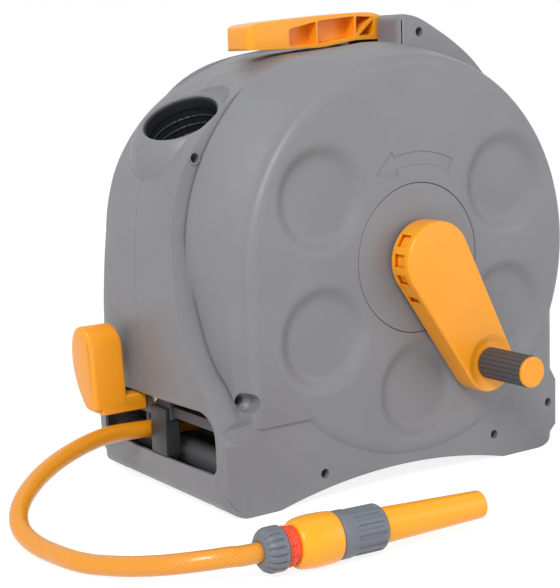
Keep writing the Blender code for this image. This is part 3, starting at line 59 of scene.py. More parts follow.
# Everything is modelled with the hub at X = 0 and the seam at Y = 0, then moved to where the frame has it
seamGap = 0.0003
flangeLow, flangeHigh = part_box("front_flange")
hubHeight = (flangeLow.z + flangeHigh.z) / 2
reelPlace = moved((flangeLow.x + flangeHigh.x) / 2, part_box("rear_shell")[0].y - seamGap / 2, 0)
hubPlace = facingOut(0, 0, hubHeight)

# Camera, at the photograph's angle
cameraView = {
    "lens": 88.57, "sensor": 36, "azimuth": -34.0, "elevation": 9.5, "roll": -1.9, "distance": 1.5032,
    "target": (-0.0535, 0.0342, 0.1708), "clipStart": 0.05,
}


def makeCamera():
    azimuth, elevation, roll = (math.radians(cameraView[k]) for k in ("azimuth", "elevation", "roll"))
    level = math.cos(elevation)
    right = Vector((math.cos(azimuth), math.sin(azimuth), 0))
    back = Vector((math.sin(azimuth) * level, -math.cos(azimuth) * level, math.sin(elevation)))
    up = back.cross(right)
    turnedRight = right * math.cos(roll) + up * math.sin(roll)
    turnedUp = up * math.cos(roll) - right * math.sin(roll)
    place = reelPlace @ Vector(cameraView["target"]) + back * cameraView["distance"]
    camera = bpy.data.objects.new("photo_camera", bpy.data.cameras.new("photo_camera"))
    camera.data.lens = cameraView["lens"]
    camera.data.sensor_width = cameraView["sensor"]
    camera.data.clip_start = cameraView["clipStart"]
    turn = Matrix((turnedRight, turnedUp, back)).transposed().to_4x4()
    camera.matrix_world = Matrix.Translation(place) @ turn
    bpy.context.scene.collection.objects.link(camera)
    bpy.context.scene.camera = camera


makeCamera()
print("camera placed")

# Finishes. Each is a shader with its own grain, wear and gloss, all on Object coordinates.
finishes = {
    "bodyGrey": dict(slot="body_plastic", colour=(0.215, 0.216, 0.232), rough=0.44, grain=1.0, vary=0.05),
    "innerGrey": dict(slot="inner_plastic", colour=(0.070, 0.071, 0.076), rough=0.55, grain=0.8, vary=0.08),
    # the bar is the body's plastic, its colour darkened as painted shade for where it sits inside the exit
    # opening
    "barPaintedShadeGrey": dict(slot="body_plastic", colour=(0.105, 0.106, 0.112), rough=0.50, grain=0.8, vary=0.08),
    "handleOrange": dict(
        slot="orange_plastic", colour=(1.0, 0.370, 0.012), rough=0.34, grain=0.35, vary=0.03),
    "connectorYellow": dict(
        slot="yellow_plastic", colour=(1.0, 0.42, 0.008), rough=0.22, grain=0.15, vary=0.02),
    "connectorGrey": dict(
        slot="connector_grey", colour=(0.160, 0.175, 0.205), rough=0.42, grain=0.5, vary=0.05),
    "ringRed": dict(slot="red_plastic", colour=(0.880, 0.080, 0.028), rough=0.34, grain=0.3, vary=0.03),
    "postBlack": dict(slot="black_plastic", colour=(0.022, 0.025, 0.029), rough=0.46, grain=0.6, vary=0.10),
    "gripRubber": dict(slot="grip_rubber", colour=(0.070, 0.067, 0.073), rough=0.58, grain=1.2, vary=0.10),
    "sealRubber": dict(slot="seal_rubber", colour=(0.012, 0.012, 0.013), rough=0.70, grain=1.0, vary=0.10),
    "screwSteel": dict(
        slot="steel", colour=(0.560, 0.555, 0.540), rough=0.30, grain=0.4, vary=0.10, metal=1.0),
    "hoseBraid": dict(slot="hose_pvc", colour=(0.860, 0.330, 0.006), rough=0.26, grain=0.15, vary=0.04),
}
pattern = {
    "cloudScale": 14.0, "smearScale": 55.0, "roughSpread": 0.05, "grainScale": 1500.0, "grainDepth": 0.00006,
    "grainStrength": 0.35, "edge": 0.0008, "edgeSamples": 6,
}


def setSockets(tree, node, sockets):
    # each socket takes a value, or a link where the value is another node's socket
    for name, value in sockets.items():
        if isinstance(value, bpy.types.NodeSocket):
            tree.links.new(value, node.inputs[name])
        else:
            node.inputs[name].default_value = value


def addNode(tree, kind, sockets, **settings):
    node = tree.nodes.new("ShaderNode" + kind)
    for name, value in settings.items():
        setattr(node, name, value)
    setSockets(tree, node, sockets)
    return node


def addNoise(tree, coordinates, scale, detail=3.0):
    return addNode(tree, "TexNoise", {"Vector": coordinates, "Scale": scale, "Detail": detail}).outputs["Fac"]


def addRange(tree, value, low, high):
    # noise keeps to its middle, so its range is stretched from there
    sockets = {"Value": value, "From Min": 0.3, "From Max": 0.7, "To Min": low, "To Max": high}
    return addNode(tree, "MapRange", sockets).outputs["Result"]


def addBump(tree, height, distance, strength, normal):
    sockets = {"Height": height, "Distance": distance, "Strength": strength, "Normal": normal}
    return addNode(tree, "Bump", sockets).outputs["Normal"]


def addMix(tree, factor, first, second):
    sockets = {"Factor": factor, "A": first, "B": second}
    return addNode(tree, "Mix", sockets, data_type="RGBA").outputs["Result"]


def addMath(tree, operation, *values):
    return addNode(tree, "Math", dict(enumerate(values)), operation=operation).outputs["Value"]


def makeFinish(name):
    choice = finishes[name]
    material = bpy.data.materials.new(name)
    material.use_nodes = True
    tree = material.node_tree
    coordinates = tree.nodes.new("ShaderNodeTexCoord").outputs["Object"]
    tints = [1 + way * choice["vary"] for way in (-1, 1)]
    dark, light = ([min(c * tint, 1) for c in choice["colour"]] + [1] for tint in tints)
    low, high = (choice["rough"] + way * pattern["roughSpread"] for way in (-1, 1))
    cloud = addRange(tree, addNoise(tree, coordinates, pattern["cloudScale"]), 0.0, 1.0)
    smear = addRange(tree, addNoise(tree, coordinates, pattern["smearScale"]), low, high)
    edge = addNode(tree, "Bevel", {"Radius": pattern["edge"]}, samples=pattern["edgeSamples"])
    grain = addNoise(tree, coordinates, pattern["grainScale"], 1.0)
    strength = pattern["grainStrength"] * choice["grain"]
    setSockets(tree, tree.nodes["Principled BSDF"], {
        "Base Color": addMix(tree, cloud, dark, light), "Roughness": smear,
        "Metallic": choice.get("metal", 0.0),
        "Normal": addBump(tree, grain, pattern["grainDepth"], strength, edge.outputs["Normal"]),
    })
    return material


materials = {name: makeFinish(name) for name in finishes}
print("finishes made")


# Modelling helpers
def softened(points, closed=False, steps=4):
    # a corner with a third number is rounded over about that length
    found = []
    count = len(points)
    for i, point in enumerate(points):
        here = Vector(point[:2])
        reach = point[2] if len(point) > 2 else 0
        if reach == 0 or (not closed and i in (0, count - 1)):
            found.append(tuple(here))
            continue
        before = Vector(points[i - 1][:2]) - here
        after = Vector(points[(i + 1) % count][:2]) - here
        start = here + before.normalized() * min(reach, 0.48 * before.length)
        end = here + after.normalized() * min(reach, 0.48 * after.length)
        for step in range(steps + 1):
            t = step / steps
            found.append(tuple(start * (1 - t) ** 2 + here * 2 * t * (1 - t) + end * t * t))
    return found


def arc(centre, radius, first, last, steps):
    turns = [math.radians(first + (last - first) * i / steps) for i in range(steps + 1)]
    return [(centre[0] + radius * math.cos(t), centre[1] + radius * math.sin(t)) for t in turns]


def smooth(points, steps):
    # a Catmull-Rom curve through the points
    points = [Vector(p) for p in points]
    ends = [2 * points[0] - points[1], *points, 2 * points[-1] - points[-2]]
    found = []
    for a, b, c, d in zip(ends, ends[1:], ends[2:], ends[3:]):
        for i in range(steps):
            t = i / steps
            spot = 2 * b + (c - a) * t + (2 * a - 5 * b + 4 * c - d) * t * t
            found.append(tuple(0.5 * (spot + (3 * b - a - 3 * c + d) * t**3)))
    return found + [tuple(points[-1])]


def smoothStep(value):
    value = min(max(value, 0.0), 1.0)
    return value * value * (3 - 2 * value)


def eased(points, fine, **ways):
    # the outline with its corners rounded, or with bare corners where it isn't seen
    return softened(points, **ways) if fine else [p[:2] for p in points]


def mirrored(points):
    # the points, then back along their mirror image in the second coordinate
    return points + [(u, -v, *rest) for u, v, *rest in points[::-1]]


def placed(bm, place):
    bmesh.ops.recalc_face_normals(bm, faces=bm.faces)
    bm.transform(place)
    return bm


def spun(profile, steps=64, closed=False, place=Matrix()):
    # a (radius, height) profile turned about Z
    bm = bmesh.new()
    points = [bm.verts.new((r, 0, z)) for r, z in profile]
    for a, b in zip(points, points[1:] + points[:1] if closed else points[1:]):
        bm.edges.new((a, b))
    bmesh.ops.spin(
        bm, geom=bm.verts[:] + bm.edges[:], cent=(0, 0, 0), axis=(0, 0, 1), angle=math.tau, steps=steps,
        use_merge=True,
    )
    bmesh.ops.remove_doubles(bm, verts=bm.verts, dist=1e-6)
    return placed(bm, place)


def puck(radius, low, high, steps=64, place=Matrix()):
    return spun([(0, low), (radius, low), (radius, high), (0, high)], steps, place=place)


def extruded(outline, low, high, plane="XZ", place=Matrix()):
    spots = {"XZ": lambda u, v: (u, low, v), "YZ": lambda u, v: (low, u, v), "XY": lambda u, v: (u, v, low)}
    along = {"XZ": (0, 1, 0), "YZ": (1, 0, 0), "XY": (0, 0, 1)}
    bm = bmesh.new()
    face = bm.faces.new([bm.verts.new(spots[plane](u, v)) for u, v in outline])
    made = bmesh.ops.extrude_face_region(bm, geom=[face])["geom"]
    fresh = [v for v in made if isinstance(v, bmesh.types.BMVert)]
    bmesh.ops.translate(bm, vec=Vector(along[plane]) * (high - low), verts=fresh)
    return placed(bm, place)


def block(low, high, place=Matrix()):
    bm = bmesh.new()
    bmesh.ops.create_cube(bm, size=1.0)
    bmesh.ops.scale(bm, vec=[b - a for a, b in zip(low, high)], verts=bm.verts)
    bmesh.ops.translate(bm, vec=[(a + b) / 2 for a, b in zip(low, high)], verts=bm.verts)
    bm.transform(place)
    return bm


def rod(radius, start, end, sides=24):
    start, end = Vector(start), Vector(end)
    bm = bmesh.new()
    length = (end - start).length
    bmesh.ops.create_cone(bm, cap_ends=True, segments=sides, radius1=radius, radius2=radius, depth=length)
    turn = (end - start).to_track_quat("Z", "Y").to_matrix().to_4x4()
    bm.transform(Matrix.Translation((start + end) / 2) @ turn)
    return bm


def rodAcross(radius, x, z, low, high, sides=24):
    return rod(radius, (x, low, z), (x, high, z), sides)


def rounded(bm, width, segments=3, angle=40):
    sharp = [e for e in bm.edges if len(e.link_faces) == 2 and e.calc_face_angle(0) > math.radians(angle)]
    bmesh.ops.bevel(
        bm, geom=sharp, offset=width, offset_type="OFFSET", segments=segments, profile=0.5, affect="EDGES",
        clamp_overlap=True, material=-1,
    )
    return bm


def together(*parts):
    # several closed forms as one mesh
    whole = parts[0]
    for part in parts[1:]:
        mesh = bpy.data.meshes.new("part")
        part.to_mesh(mesh)
        part.free()
        whole.from_mesh(mesh)
        bpy.data.meshes.remove(mesh)
    return whole


def shaped(target, tool, operation):
    # one exact Boolean between two forms, which gives the form that is left
    objects = []
    for bm in (target, tool):
        mesh = bpy.data.meshes.new("form")
        bm.to_mesh(mesh)
        bm.free()
        objects.append(bpy.data.objects.new("form", mesh))
        bpy.context.scene.collection.objects.link(objects[-1])
    modifier = objects[0].modifiers.new("shape", "BOOLEAN")
    modifier.operation = operation
    modifier.solver = "EXACT"
    modifier.object = objects[1]
    bpy.context.view_layer.update()
    result = objects[0].evaluated_get(bpy.context.evaluated_depsgraph_get()).to_mesh()
    left = bmesh.new()
    left.from_mesh(result)
    objects[0].evaluated_get(bpy.context.evaluated_depsgraph_get()).to_mesh_clear()
    for obj in objects:
        mesh = obj.data
        bpy.data.objects.remove(obj)
        bpy.data.meshes.remove(mesh)
    bmesh.ops.remove_doubles(left, verts=left.verts, dist=2e-6)
    return left


def cutOut(target, *tools):
    for tool in tools:
        target = shaped(target, tool, "DIFFERENCE")
    return target


def added(target, *tools):
    for tool in tools:
        target = shaped(target, tool, "UNION")
    return target


def finished(name, bm, finish, body, replaced=(), smoothAngle=32):
    mesh = bpy.data.meshes.new(name)
    bm.to_mesh(mesh)
    bm.free()
    mesh.transform(reelPlace)
    mesh.shade_smooth()
    mesh.set_sharp_from_angle(angle=math.radians(smoothAngle))
    mesh.materials.append(materials[finish])
    piece = bpy.data.objects.new(name, mesh)
    bpy.context.scene.collection.objects.link(piece)
    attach(piece, body)
    if replaced:
        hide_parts(*replaced)
    return piece


# Casing: a band with the hump, a base with four feet, and a round housing, split at the seam
casing = {
    "wall": 0.003, "halfWidth": 0.127, "discRadius": 0.186, "rimRadius": 0.197, "rimDepth": 0.011,
    "shoulderRadius": 0.207, "shoulderHalf": 0.0645, "middleRadius": 0.1955, "middleHalf": 0.0565,
    "growth": 0.0213, "growthStart": 99, "growthRise": 37, "growthEnd": 240, "growthFall": 90,
    "bandHalf": 0.0625, "bandBackRadius": 0.2074, "crownRadius": 1.21, "crownReach": 0.10, "bandEdge": 0.0026,
    "humpFront": 0.036, "humpCorner": 0.011, "grooveWidth": 0.003, "grooveFloor": -0.2005,
    "cheekFloor": 0.0815,
    "skirtHalf": 0.124, "skirtFront": -0.2255, "skirtRear": 0.187, "ledge": 0.085, "floor": 0.018,
    "frontCorner": 0.020, "rearCorner": 0.016, "archHalf": 0.139, "archRise": 0.0172, "archMiddle": -0.028,
    "dimpleRing": 0.130, "dimpleRadius": 0.0528, "dimpleFloor": 0.0355, "dimpleDepth": 0.008,
    "dimpleAngles": (30, 150, 210, 270, 330), "hubBore": 0.0729, "inletBore": 0.0203, "steps": 256,
    "lugRadius": 0.0062, "lugReach": 0.1003, "headBore": 0.0046, "screwBore": 0.002, "channelHalf": 0.0245,
    "channelFloor": 0.424, "pocketBore": 0.037,
}
bandFront = (
    (-0.2285, 0.024), (-0.2295, 0.060), (-0.2325, 0.105), (-0.2375, 0.150), (-0.2405, 0.190),
    (-0.2395, 0.235), (-0.2345, 0.280), (-0.2205, 0.320), (-0.193, 0.357), (-0.157, 0.385),
    (-0.122, 0.403), (-0.083, 0.415), (-0.045, 0.419), (0.0, 0.4235),
)
bandFlare = (
    (0.0625, 0.500), (0.0625, 0.252), (0.068, 0.208), (0.074, 0.178), (0.0805, 0.153), (0.089, 0.132),
    (0.0985, 0.1155), (0.108, 0.090), (0.1235, 0.070), (0.1235, 0.000),
)
humpTop = (
    (0.0405, 0.4518), (0.058, 0.448), (0.081, 0.4367), (0.106, 0.422), (0.130, 0.404),
    (0.152, 0.380), (0.170, 0.350),
)
pocketPlace = moved(-0.190, -0.010, 0.3615) @ turned(-28.4, "Y") @ turned(13.1, "X")
casingScrews = ((-0.1155, 0.0255), (0.0986, 0.0255), (0.175, 0.0466), (-0.196, 0.1058))
pocketScrews = ((-0.2076, 0.3263), (-0.1475, 0.3655))
handlePivot = (0.059, 0.434)
barPlace = (-0.190, 0.036)
bellPlace = facingOut(casingScrews[-1][0], 0, casingScrews[-1][1])


def boxOutline(corners):
    # a counter-clockwise rectangle with round corners, from (u, v, radius, steps) at its +U +V corner on
    points = []
    for number, (u, v, radius, steps) in enumerate(corners):
        side, level = ((1, 1), (-1, 1), (-1, -1), (1, -1))[number]
        points += arc((u - side * radius, v - level * radius), radius, 90 * number, 90 * number + 90, steps)
    return points


def drawnIn(outline, distance):
    # every side of a counter-clockwise outline moved inwards
    found = []
    for i in range(len(outline)):
        before, here, after = (Vector(outline[j % len(outline)]) for j in (i - 1, i, i + 1))
        first, second = (here - before).normalized(), (after - here).normalized()
        normal = Vector((-first.y - second.y, first.x + second.x)).normalized()
        found.append(tuple(here + normal * distance / max(normal.dot(Vector((-first.y, first.x))), 0.5)))
    return found


def flareForm(gap, fine, low, high):
    # the band as seen from the front, between two planes across X
    right = smooth(bandFlare[1:-2], 4) if fine else list(bandFlare[1:-2])
    right = [bandFlare[0], *right, *bandFlare[-2:]]
    return extruded(drawnIn([(-y, z) for y, z in right] + right[::-1], gap), low, high, "YZ")


def makeBand(gap, fine):
    front = smooth(bandFront, 6 if fine else 2)
    foot = [(-0.2030, 0.0020), (-0.2140, 0.0055), (-0.2235, 0.013)]
    hump = casing["humpFront"]
    top = [(0.0145, 0.4256), (hump, 0.4233, 0.002), (hump, 0.4480, 0.004)] + smooth(humpTop, 4 if fine else 1)
    back = arc((0, hubHeight), casing["bandBackRadius"], 30, -14, 24 if fine else 10)
    rear = casing["skirtRear"] - 0.001
    outline = foot + front[:-1] + top + back + [(rear, 0.120), (rear, 0.022), (0.165, 0.0020)]
    outline = drawnIn(softened(outline, closed=True)[::-1], gap)
    columns, reach = 16 if fine else 8, 0.130
    bm = extruded(outline, -reach, reach)
    for column in range(1, columns):
        cut = (0, -reach + 2 * reach * column / columns, 0)
        geom = bm.verts[:] + bm.edges[:] + bm.faces[:]
        bmesh.ops.bisect_plane(bm, geom=geom, plane_co=cut, plane_no=(0, 1, 0))
    for vertex in bm.verts:
        share = min(max(-vertex.co.x / casing["crownReach"], 0.0), 1.0)
        vertex.co.x += share * vertex.co.y**2 / (2 * casing["crownRadius"])
    bmesh.ops.connect_verts_nonplanar(bm, angle_limit=0.0001, faces=bm.faces)
    band = shaped(bm, flareForm(gap, fine, -0.30, 0.30), "INTERSECT")
    if not fine:
        return band
    # the hump's front corners, seen from above
    half, radius = casing["bandHalf"], casing["humpCorner"]
    for sign in (-1, 1):
        bend = arc((hump + radius, sign * (half - radius)), radius, 180, 180 - 90 * sign, 10)
        corner = [(0.030, sign * (half - radius)), *bend, (hump + radius, sign * 0.07), (0.030, sign * 0.07)]
        band = cutOut(band, extruded(corner, 0.4228, 0.470, "XY"))
    return rounded(band, casing["bandEdge"], 3, 38)


def makeSkirt(gap, fine):
    steps = 10 if fine else 5
    half, front, rear, ledge = (casing[k] for k in ("skirtHalf", "skirtFront", "skirtRear", "ledge"))
    near, far = (casing["frontCorner"], steps), (casing["rearCorner"], steps)
    plan = boxOutline([(rear, half, *far), (front, half, *near), (front, -half, *near), (rear, -half, *far)])
    side = [
        (-0.204, 0.0, 0.004), (0.165, 0.0, 0.006), (0.178, 0.005, 0.006), (0.1868, 0.018, 0.006),
        (0.192, 0.03, 0.006), (0.192, 0.150, 0.01), (0.150, 0.175), (0.0, 0.175), (-0.120, 0.120),
        (-0.170, ledge + 0.006, 0.010), (-0.216, ledge, 0.006), (-0.2265, ledge - 0.008, 0.006),
        (-0.232, 0.04, 0.010), (-0.2255, 0.016, 0.006), (-0.2160, 0.004, 0.006),
    ]
    side = drawnIn(eased(side, fine, closed=True), gap)
    return shaped(extruded(drawnIn(plan, gap), -0.02, 0.22, "XY"), extruded(side, -0.2, 0.2), "INTERSECT")


def sideGrowth(angle):
    # how far the housing's middle swells at this angle round the hub
    rise = (angle - casing["growthStart"]) / casing["growthRise"]
    fall = (casing["growthEnd"] - angle) / casing["growthFall"]
    return casing["growth"] * smoothStep(min(rise, fall))


def makeCheek(gap, fine):
    # the housing's front edge, carried down to the base and kept off the band by the groove
    half, disc, rim, deep = (casing[k] for k in ("halfWidth", "discRadius", "rimRadius", "rimDepth"))
    face, growth, waist = half - 0.0008, sideGrowth(180), half - 3 * deep
    swell = growth * (half - deep - waist) / (half - deep - casing["shoulderHalf"])
    plan = mirrored([
        (-0.120, -face), (-disc - 0.001, -face, 0.002), (-disc - 0.008, 0.003 - face, 0.004),
        (0.0003 - rim, deep - half, 0.006), (-rim - 0.005 - swell, -waist, 0.010),
        (-casing["shoulderRadius"] - growth, -casing["shoulderHalf"]),
    ])
    plan = eased(plan, fine, closed=True)
    form = extruded(drawnIn(plan[::-1], gap), casing["cheekFloor"] + gap, hubHeight + 0.0007, "XY")
    form = cutOut(form, flareForm(-casing["grooveWidth"] - gap, fine, -0.30, casing["grooveFloor"] + gap))
    return rounded(form, 0.0016, 3, 62) if fine else form


def dimpleAt(x, z):
    deepest = 0.0
    for angle in casing["dimpleAngles"]:
        middle = Vector((math.cos(math.radians(angle)), math.sin(math.radians(angle)))) * casing["dimpleRing"]
        away = (Vector((x, z)) - middle).length
        rise = (casing["dimpleRadius"] - away) / (casing["dimpleRadius"] - casing["dimpleFloor"])
        deepest = max(deepest, smoothStep(rise))
    return deepest * casing["dimpleDepth"]


def makeHousing(gap, fine):
    half, disc, edge, deep = (casing[k] for k in ("halfWidth", "discRadius", "rimRadius", "rimDepth"))
    rim = [
        (disc, half, 0.002), (disc + 0.0075, half - 0.003, 0.004), (edge, half - deep, 0.006),
        (edge + 0.005, half - 3 * deep, 0.010), (casing["shoulderRadius"], casing["shoulderHalf"], 0.0018),
        (casing["middleRadius"], casing["middleHalf"], 0.002),
    ]
    rim = [(r - gap, w - (gap if w > casing["shoulderHalf"] else 0), *rest) for r, w, *rest in rim]
    top = rim[0][1]
    rings = 36 if fine else 16
    face = [(0.0, top), (0.060, top)] + [(0.074 + (disc - 0.079) * i / rings, top) for i in range(rings + 1)]
    side = eased(mirrored(face + rim), fine, steps=3)
    bm = spun(side, casing["steps"] if fine else 96, place=hubPlace)
    reach = half - deep - casing["shoulderHalf"]
    for vertex in bm.verts:
        x, y, z = vertex.co.x, vertex.co.y, vertex.co.z - hubHeight
        radius = math.hypot(x, z)
        share = (half - deep - abs(y)) / reach
        if radius > disc - casing["wall"] - 0.001 and share > 0:
            scale = 1 + sideGrowth(math.degrees(math.atan2(z, x)) % 360) * min(share, 1.0) / radius
            vertex.co.x = x * scale
            vertex.co.z = hubHeight + z * scale
        elif 0.072 < radius < disc - gap and abs(y) > half - 0.006:
            vertex.co.y -= math.copysign(dimpleAt(x, z), y)
    return bm


def dimplesOff(form, gap):
    # keeps a form behind the housing out of its dimples
    rods = []
    for angle in casing["dimpleAngles"]:
        x = casing["dimpleRing"] * math.cos(math.radians(angle))
        z = casing["dimpleRing"] * math.sin(math.radians(angle)) + hubHeight
        deep = casing["halfWidth"] - casing["dimpleDepth"] - 0.0008 - gap
        for sign in (-1, 1):
            rods.append(rodAcross(casing["dimpleRadius"] + gap, x, z, sign * deep, sign * 0.14, 48))
    return cutOut(form, together(*rods))


def makeNeck(gap, fine):
    profile = [
        (0, -gap * 1.1), (0.0405 - gap * 0.1, -gap * 1.1, 0.0015), (0.0435 - gap * 0.7, -0.002 - gap, 0.003),
        (0.0505 - gap, -0.009, 0.004), (0.0575 - gap, -0.019, 0.006), (0.061 - gap, -0.034, 0.006),
        (0.061 - gap, -0.070), (0, -0.070),
    ]
    return spun(eased(profile, fine), 128 if fine else 40, place=pocketPlace)


def steppedBore(x, z, mouth, seat, bore, end, start):
    profile = [(0, start), (mouth, start), (mouth, seat), (bore, seat), (bore, end), (0, end)]
    return spun(profile, 32, place=facingOut(x, 0, z))


def turnedArrow():
    # a plain arrow that shows which way the crank winds
    inner, outer = 0.0895, 0.1025
    head = [(0.0835, 106), (0.096, 121), (0.1085, 106)]
    points = arc((0, 0), outer, 64, 106, 24)
    points += [(r * math.cos(math.radians(a)), r * math.sin(math.radians(a))) for r, a in head[::-1]]
    points += arc((0, 0), inner, 106, 64, 24)
    outline = [(x, z + hubHeight) for x, z in points]
    return extruded(outline, -0.1400, 0.0008 - casing["halfWidth"])


def makeOutside():
    band, skirt, cheek = (dimplesOff(make(0, True), 0) for make in (makeBand, makeSkirt, makeCheek))
    outside = added(makeHousing(0, True), band, skirt, cheek, makeNeck(0, True))
    above = softened([
        (0, -0.0003), (0.0415, -0.0003, 0.0015), (0.048, 0.005, 0.006), (0.0635, 0.030),
        (0.0635, 0.06), (0, 0.06),
    ])
    outside = cutOut(outside, spun(above, 64, place=pocketPlace))
    print("casing outside made", len(outside.faces))
    return outside


def makeHollow():
    # keeps the walls of the pocket's rim, the handle's channel and the upper screw's bell
    wall = casing["wall"]
    band, skirt, cheek = (dimplesOff(make(wall, False), wall) for make in (makeBand, makeSkirt, makeCheek))
    hollow = added(makeHousing(wall, False), band, skirt, cheek)
    channelHalf, channelFloor = casing["channelHalf"] + wall, casing["channelFloor"] - wall
    channel = block((0.032, -channelHalf, channelFloor), (0.081, channelHalf, 0.48))
    hollow = cutOut(hollow, puck(0.0552, -wall, 0.06, place=pocketPlace), channel)
    hollow = added(hollow, makeNeck(wall, False))
    bell = [(0, 0.100), (casing["lugRadius"], 0.100), (0.011, 0.106), (0.011, 0.13), (0, 0.13)]
    hollow = cutOut(hollow, spun(bell, 48, place=bellPlace))
    return shaped(hollow, block((-0.30, -0.13, casing["floor"] + wall), (0.30, 0.13, 0.50)), "INTERSECT")


def makeLugs():
    # the hub's collar, the screws' posts, and the seats of the guide's rail, its bar and the handle's pin
    bore, wall, lug, reach = (casing[k] for k in ("hubBore", "wall", "lugRadius", "lugReach"))
    collar = [(bore - 0.001, 0.126), (bore + wall, 0.126), (bore + wall, 0.112), (bore - 0.001, 0.112)]
    lugs = [spun(collar, 128, closed=True, place=hubPlace)]
    for x, z in casingScrews:
        end = casing["skirtHalf"] - 0.001 if z < casing["ledge"] else reach
        lugs.append(rodAcross(lug, x, z, -end, end))
    lugs += [rodAcross(lug, x, z, -0.0637, -0.0403) for x, z in pocketScrews]
    for sign in (-1, 1):
        low, high = sorted((sign * reach, sign * 0.1100))
        lugs.append(block((-0.220, low, 0.0745), (-0.206, high, 0.0866)))
        lugs.append(rodAcross(0.0145, *barPlace, sign * 0.1118, sign * 0.123))
        lugs.append(rodAcross(0.0065, *handlePivot, sign * 0.0255, sign * 0.0615))
    return together(*lugs)


def makeArch():
    # the shallow arch under the base, seen from the side
    half, rise, middle = casing["archHalf"], casing["archRise"], casing["archMiddle"]
    radius = (half**2 + rise**2) / (2 * rise)
    lean = math.degrees(math.asin(half / radius))
    arch = arc((middle, rise - radius), radius, 90 - lean, 90 + lean, 40) + [(-0.169, -0.01), (0.113, -0.01)]
    return extruded(arch, -0.14, 0.14)


def makeHoles():
    bore, pocket = casing["hubBore"], casing["pocketBore"]
    exitHole = boxOutline([
        (0.108, 0.098, 0.022, 12), (-0.108, 0.098, 0.022, 12), (-0.108, 0.040, 0.009, 8),
        (0.108, 0.040, 0.009, 8),
    ])
    hub = [(0, 0.01), (bore, 0.01), (bore, 0.1262), (bore + 0.0009, 0.15), (0, 0.15)]
    cup = [(0, 0.02), (0.0382, 0.02), (0.0380, 0.0002), (pocket, -0.0012), (pocket, -0.02), (0, -0.02)]
    holes = [
        extruded(exitHole, -0.260, casing["skirtFront"] + 0.006, "YZ"), makeArch(),
        spun(hub, 128, place=hubPlace), puck(casing["inletBore"], -0.15, -0.10, place=hubPlace),
        spun(cup, 96, place=pocketPlace), turnedArrow(),
    ]
    head, screw = casing["headBore"], casing["screwBore"]
    holes += [steppedBore(x, z, head, 0.022, screw, -0.016, 0.14) for x, z in casingScrews]
    return holes + [steppedBore(x, z, head, 0.046, screw, 0.039, 0.0725) for x, z in pocketScrews]


def makeCasing():
    outside = makeOutside()
    shell = cutOut(outside, makeHollow())
    print("casing hollowed", len(shell.faces))
    shell = added(shell, makeLugs())
    feet = mirrored([
        (-0.217, -0.088), (-0.167, -0.088), (-0.167, -0.121), (0.111, -0.121),
        (0.111, -0.090), (0.177, -0.090),
    ])
    underside = extruded(feet, -0.01, casing["floor"], "XY")
    half = casing["channelHalf"]
    channel = block((-0.02, -half, casing["channelFloor"]), (0.078, half, 0.48))
    shell = cutOut(shell, together(*makeHoles()), together(underside, channel))
    pin = steppedBore(*handlePivot, casing["headBore"], 0.050, 0.0033, -0.050, 0.070)
    bell = softened([
        (0, 0.104), (0.0048, 0.104), (0.0062, 0.1065, 0.002), (0.0090, 0.1095, 0.002),
        (0.0096, 0.150), (0, 0.150),
    ])
    shell = cutOut(shell, pin, spun(bell, 48, place=bellPlace))
    print("casing opened", len(shell.faces))
    halves = ((shell.copy(), -seamGap / 2, 0.2, "near", "front"), (shell, -0.2, seamGap / 2, "far", "rear"))
    for bm, low, high, side, end in halves:
        half = cutOut(bm, block((-0.3, low, -0.1), (0.3, high, 0.6)))
        finished(f"casing_{side}", half, "bodyGrey", "casing", [f"{end}_shell"])


makeCasing()
print("casing made")


def carriedOn(bm, edges):
    # the edges extruded in place: the new points and the new edges
    made = bmesh.ops.extrude_edge_only(bm, edges=edges)["geom"]
    fresh = {v for v in made if isinstance(v, bmesh.types.BMVert)}
    return fresh, [e for e in made if isinstance(e, bmesh.types.BMEdge) and fresh.issuperset(e.verts)]


def stacked(outline, sections):
    # an outline in XY carried up Z, each section being (height, scale about the outline's own origin)
    bm = bmesh.new()
    height, last = sections[0]
    edges = list(bm.faces.new([bm.verts.new((x * last, y * last, height)) for x, y in outline]).edges)
    for height, scale in sections[1:]:
        fresh, edges = carriedOn(bm, edges)
        for vertex in fresh:
            vertex.co = (vertex.co.x * scale / last, vertex.co.y * scale / last, height)
        last = scale
    bmesh.ops.contextual_create(bm, geom=edges)
    bmesh.ops.recalc_face_normals(bm, faces=bm.faces)
    return bm


# Drum: hub plate, flanges and the hose wound on a plain core
drum = {
    "plateRadius": 0.0724, "plateFace": 0.1273, "plateBack": 0.1036, "flangeRadius": 0.186,
    "flangeBore": 0.0203, "flangeInner": 0.1003, "flangeOuter": 0.1033, "coreBore": 0.0903,
    "coreHalf": 0.099, "coreRadius": 0.129, "turnRadius": 0.1355, "turns": 11, "turnSteps": 48,
    "halfLength": 0.0905,
}
hose = {"radius": 0.0085, "sides": 32}
crank = {
    "tip": (0.064, -0.108), "hubRadius": 0.038, "tipRadius": 0.029, "back": 0.131, "front": 0.159,
    "wall": 0.004,
    "windows": (
        (146, -0.0065, 0.0065), (176, -0.0060, 0.0060), (206, -0.0055, 0.0055), (214.8, 0.0150, 0.0225),
    ),
    "dipRadius": 0.0185, "dipDepth": 0.0035, "edge": 0.0032, "gripRadius": 0.0155, "gripRibs": 20,
    "ribSteps": 10, "ribDepth": 0.0011, "gripStart": 0.1557, "gripEnd": 0.2128, "capRadius": 0.0148,
    "hubBoss": 0.018, "tipBoss": 0.011, "seatRadius": 0.016, "seatBack": 0.1276, "screwBore": 0.0033,
    "spindleBore": 0.0063, "windowReach": (0.031, 0.048), "windowFront": 0.0082, "windowEdge": 0.0008,
    "slopeWidth": 0.0125, "slopeRise": 0.0036, "slopeSteps": 12, "beyond": (0.12, 0.17),
}


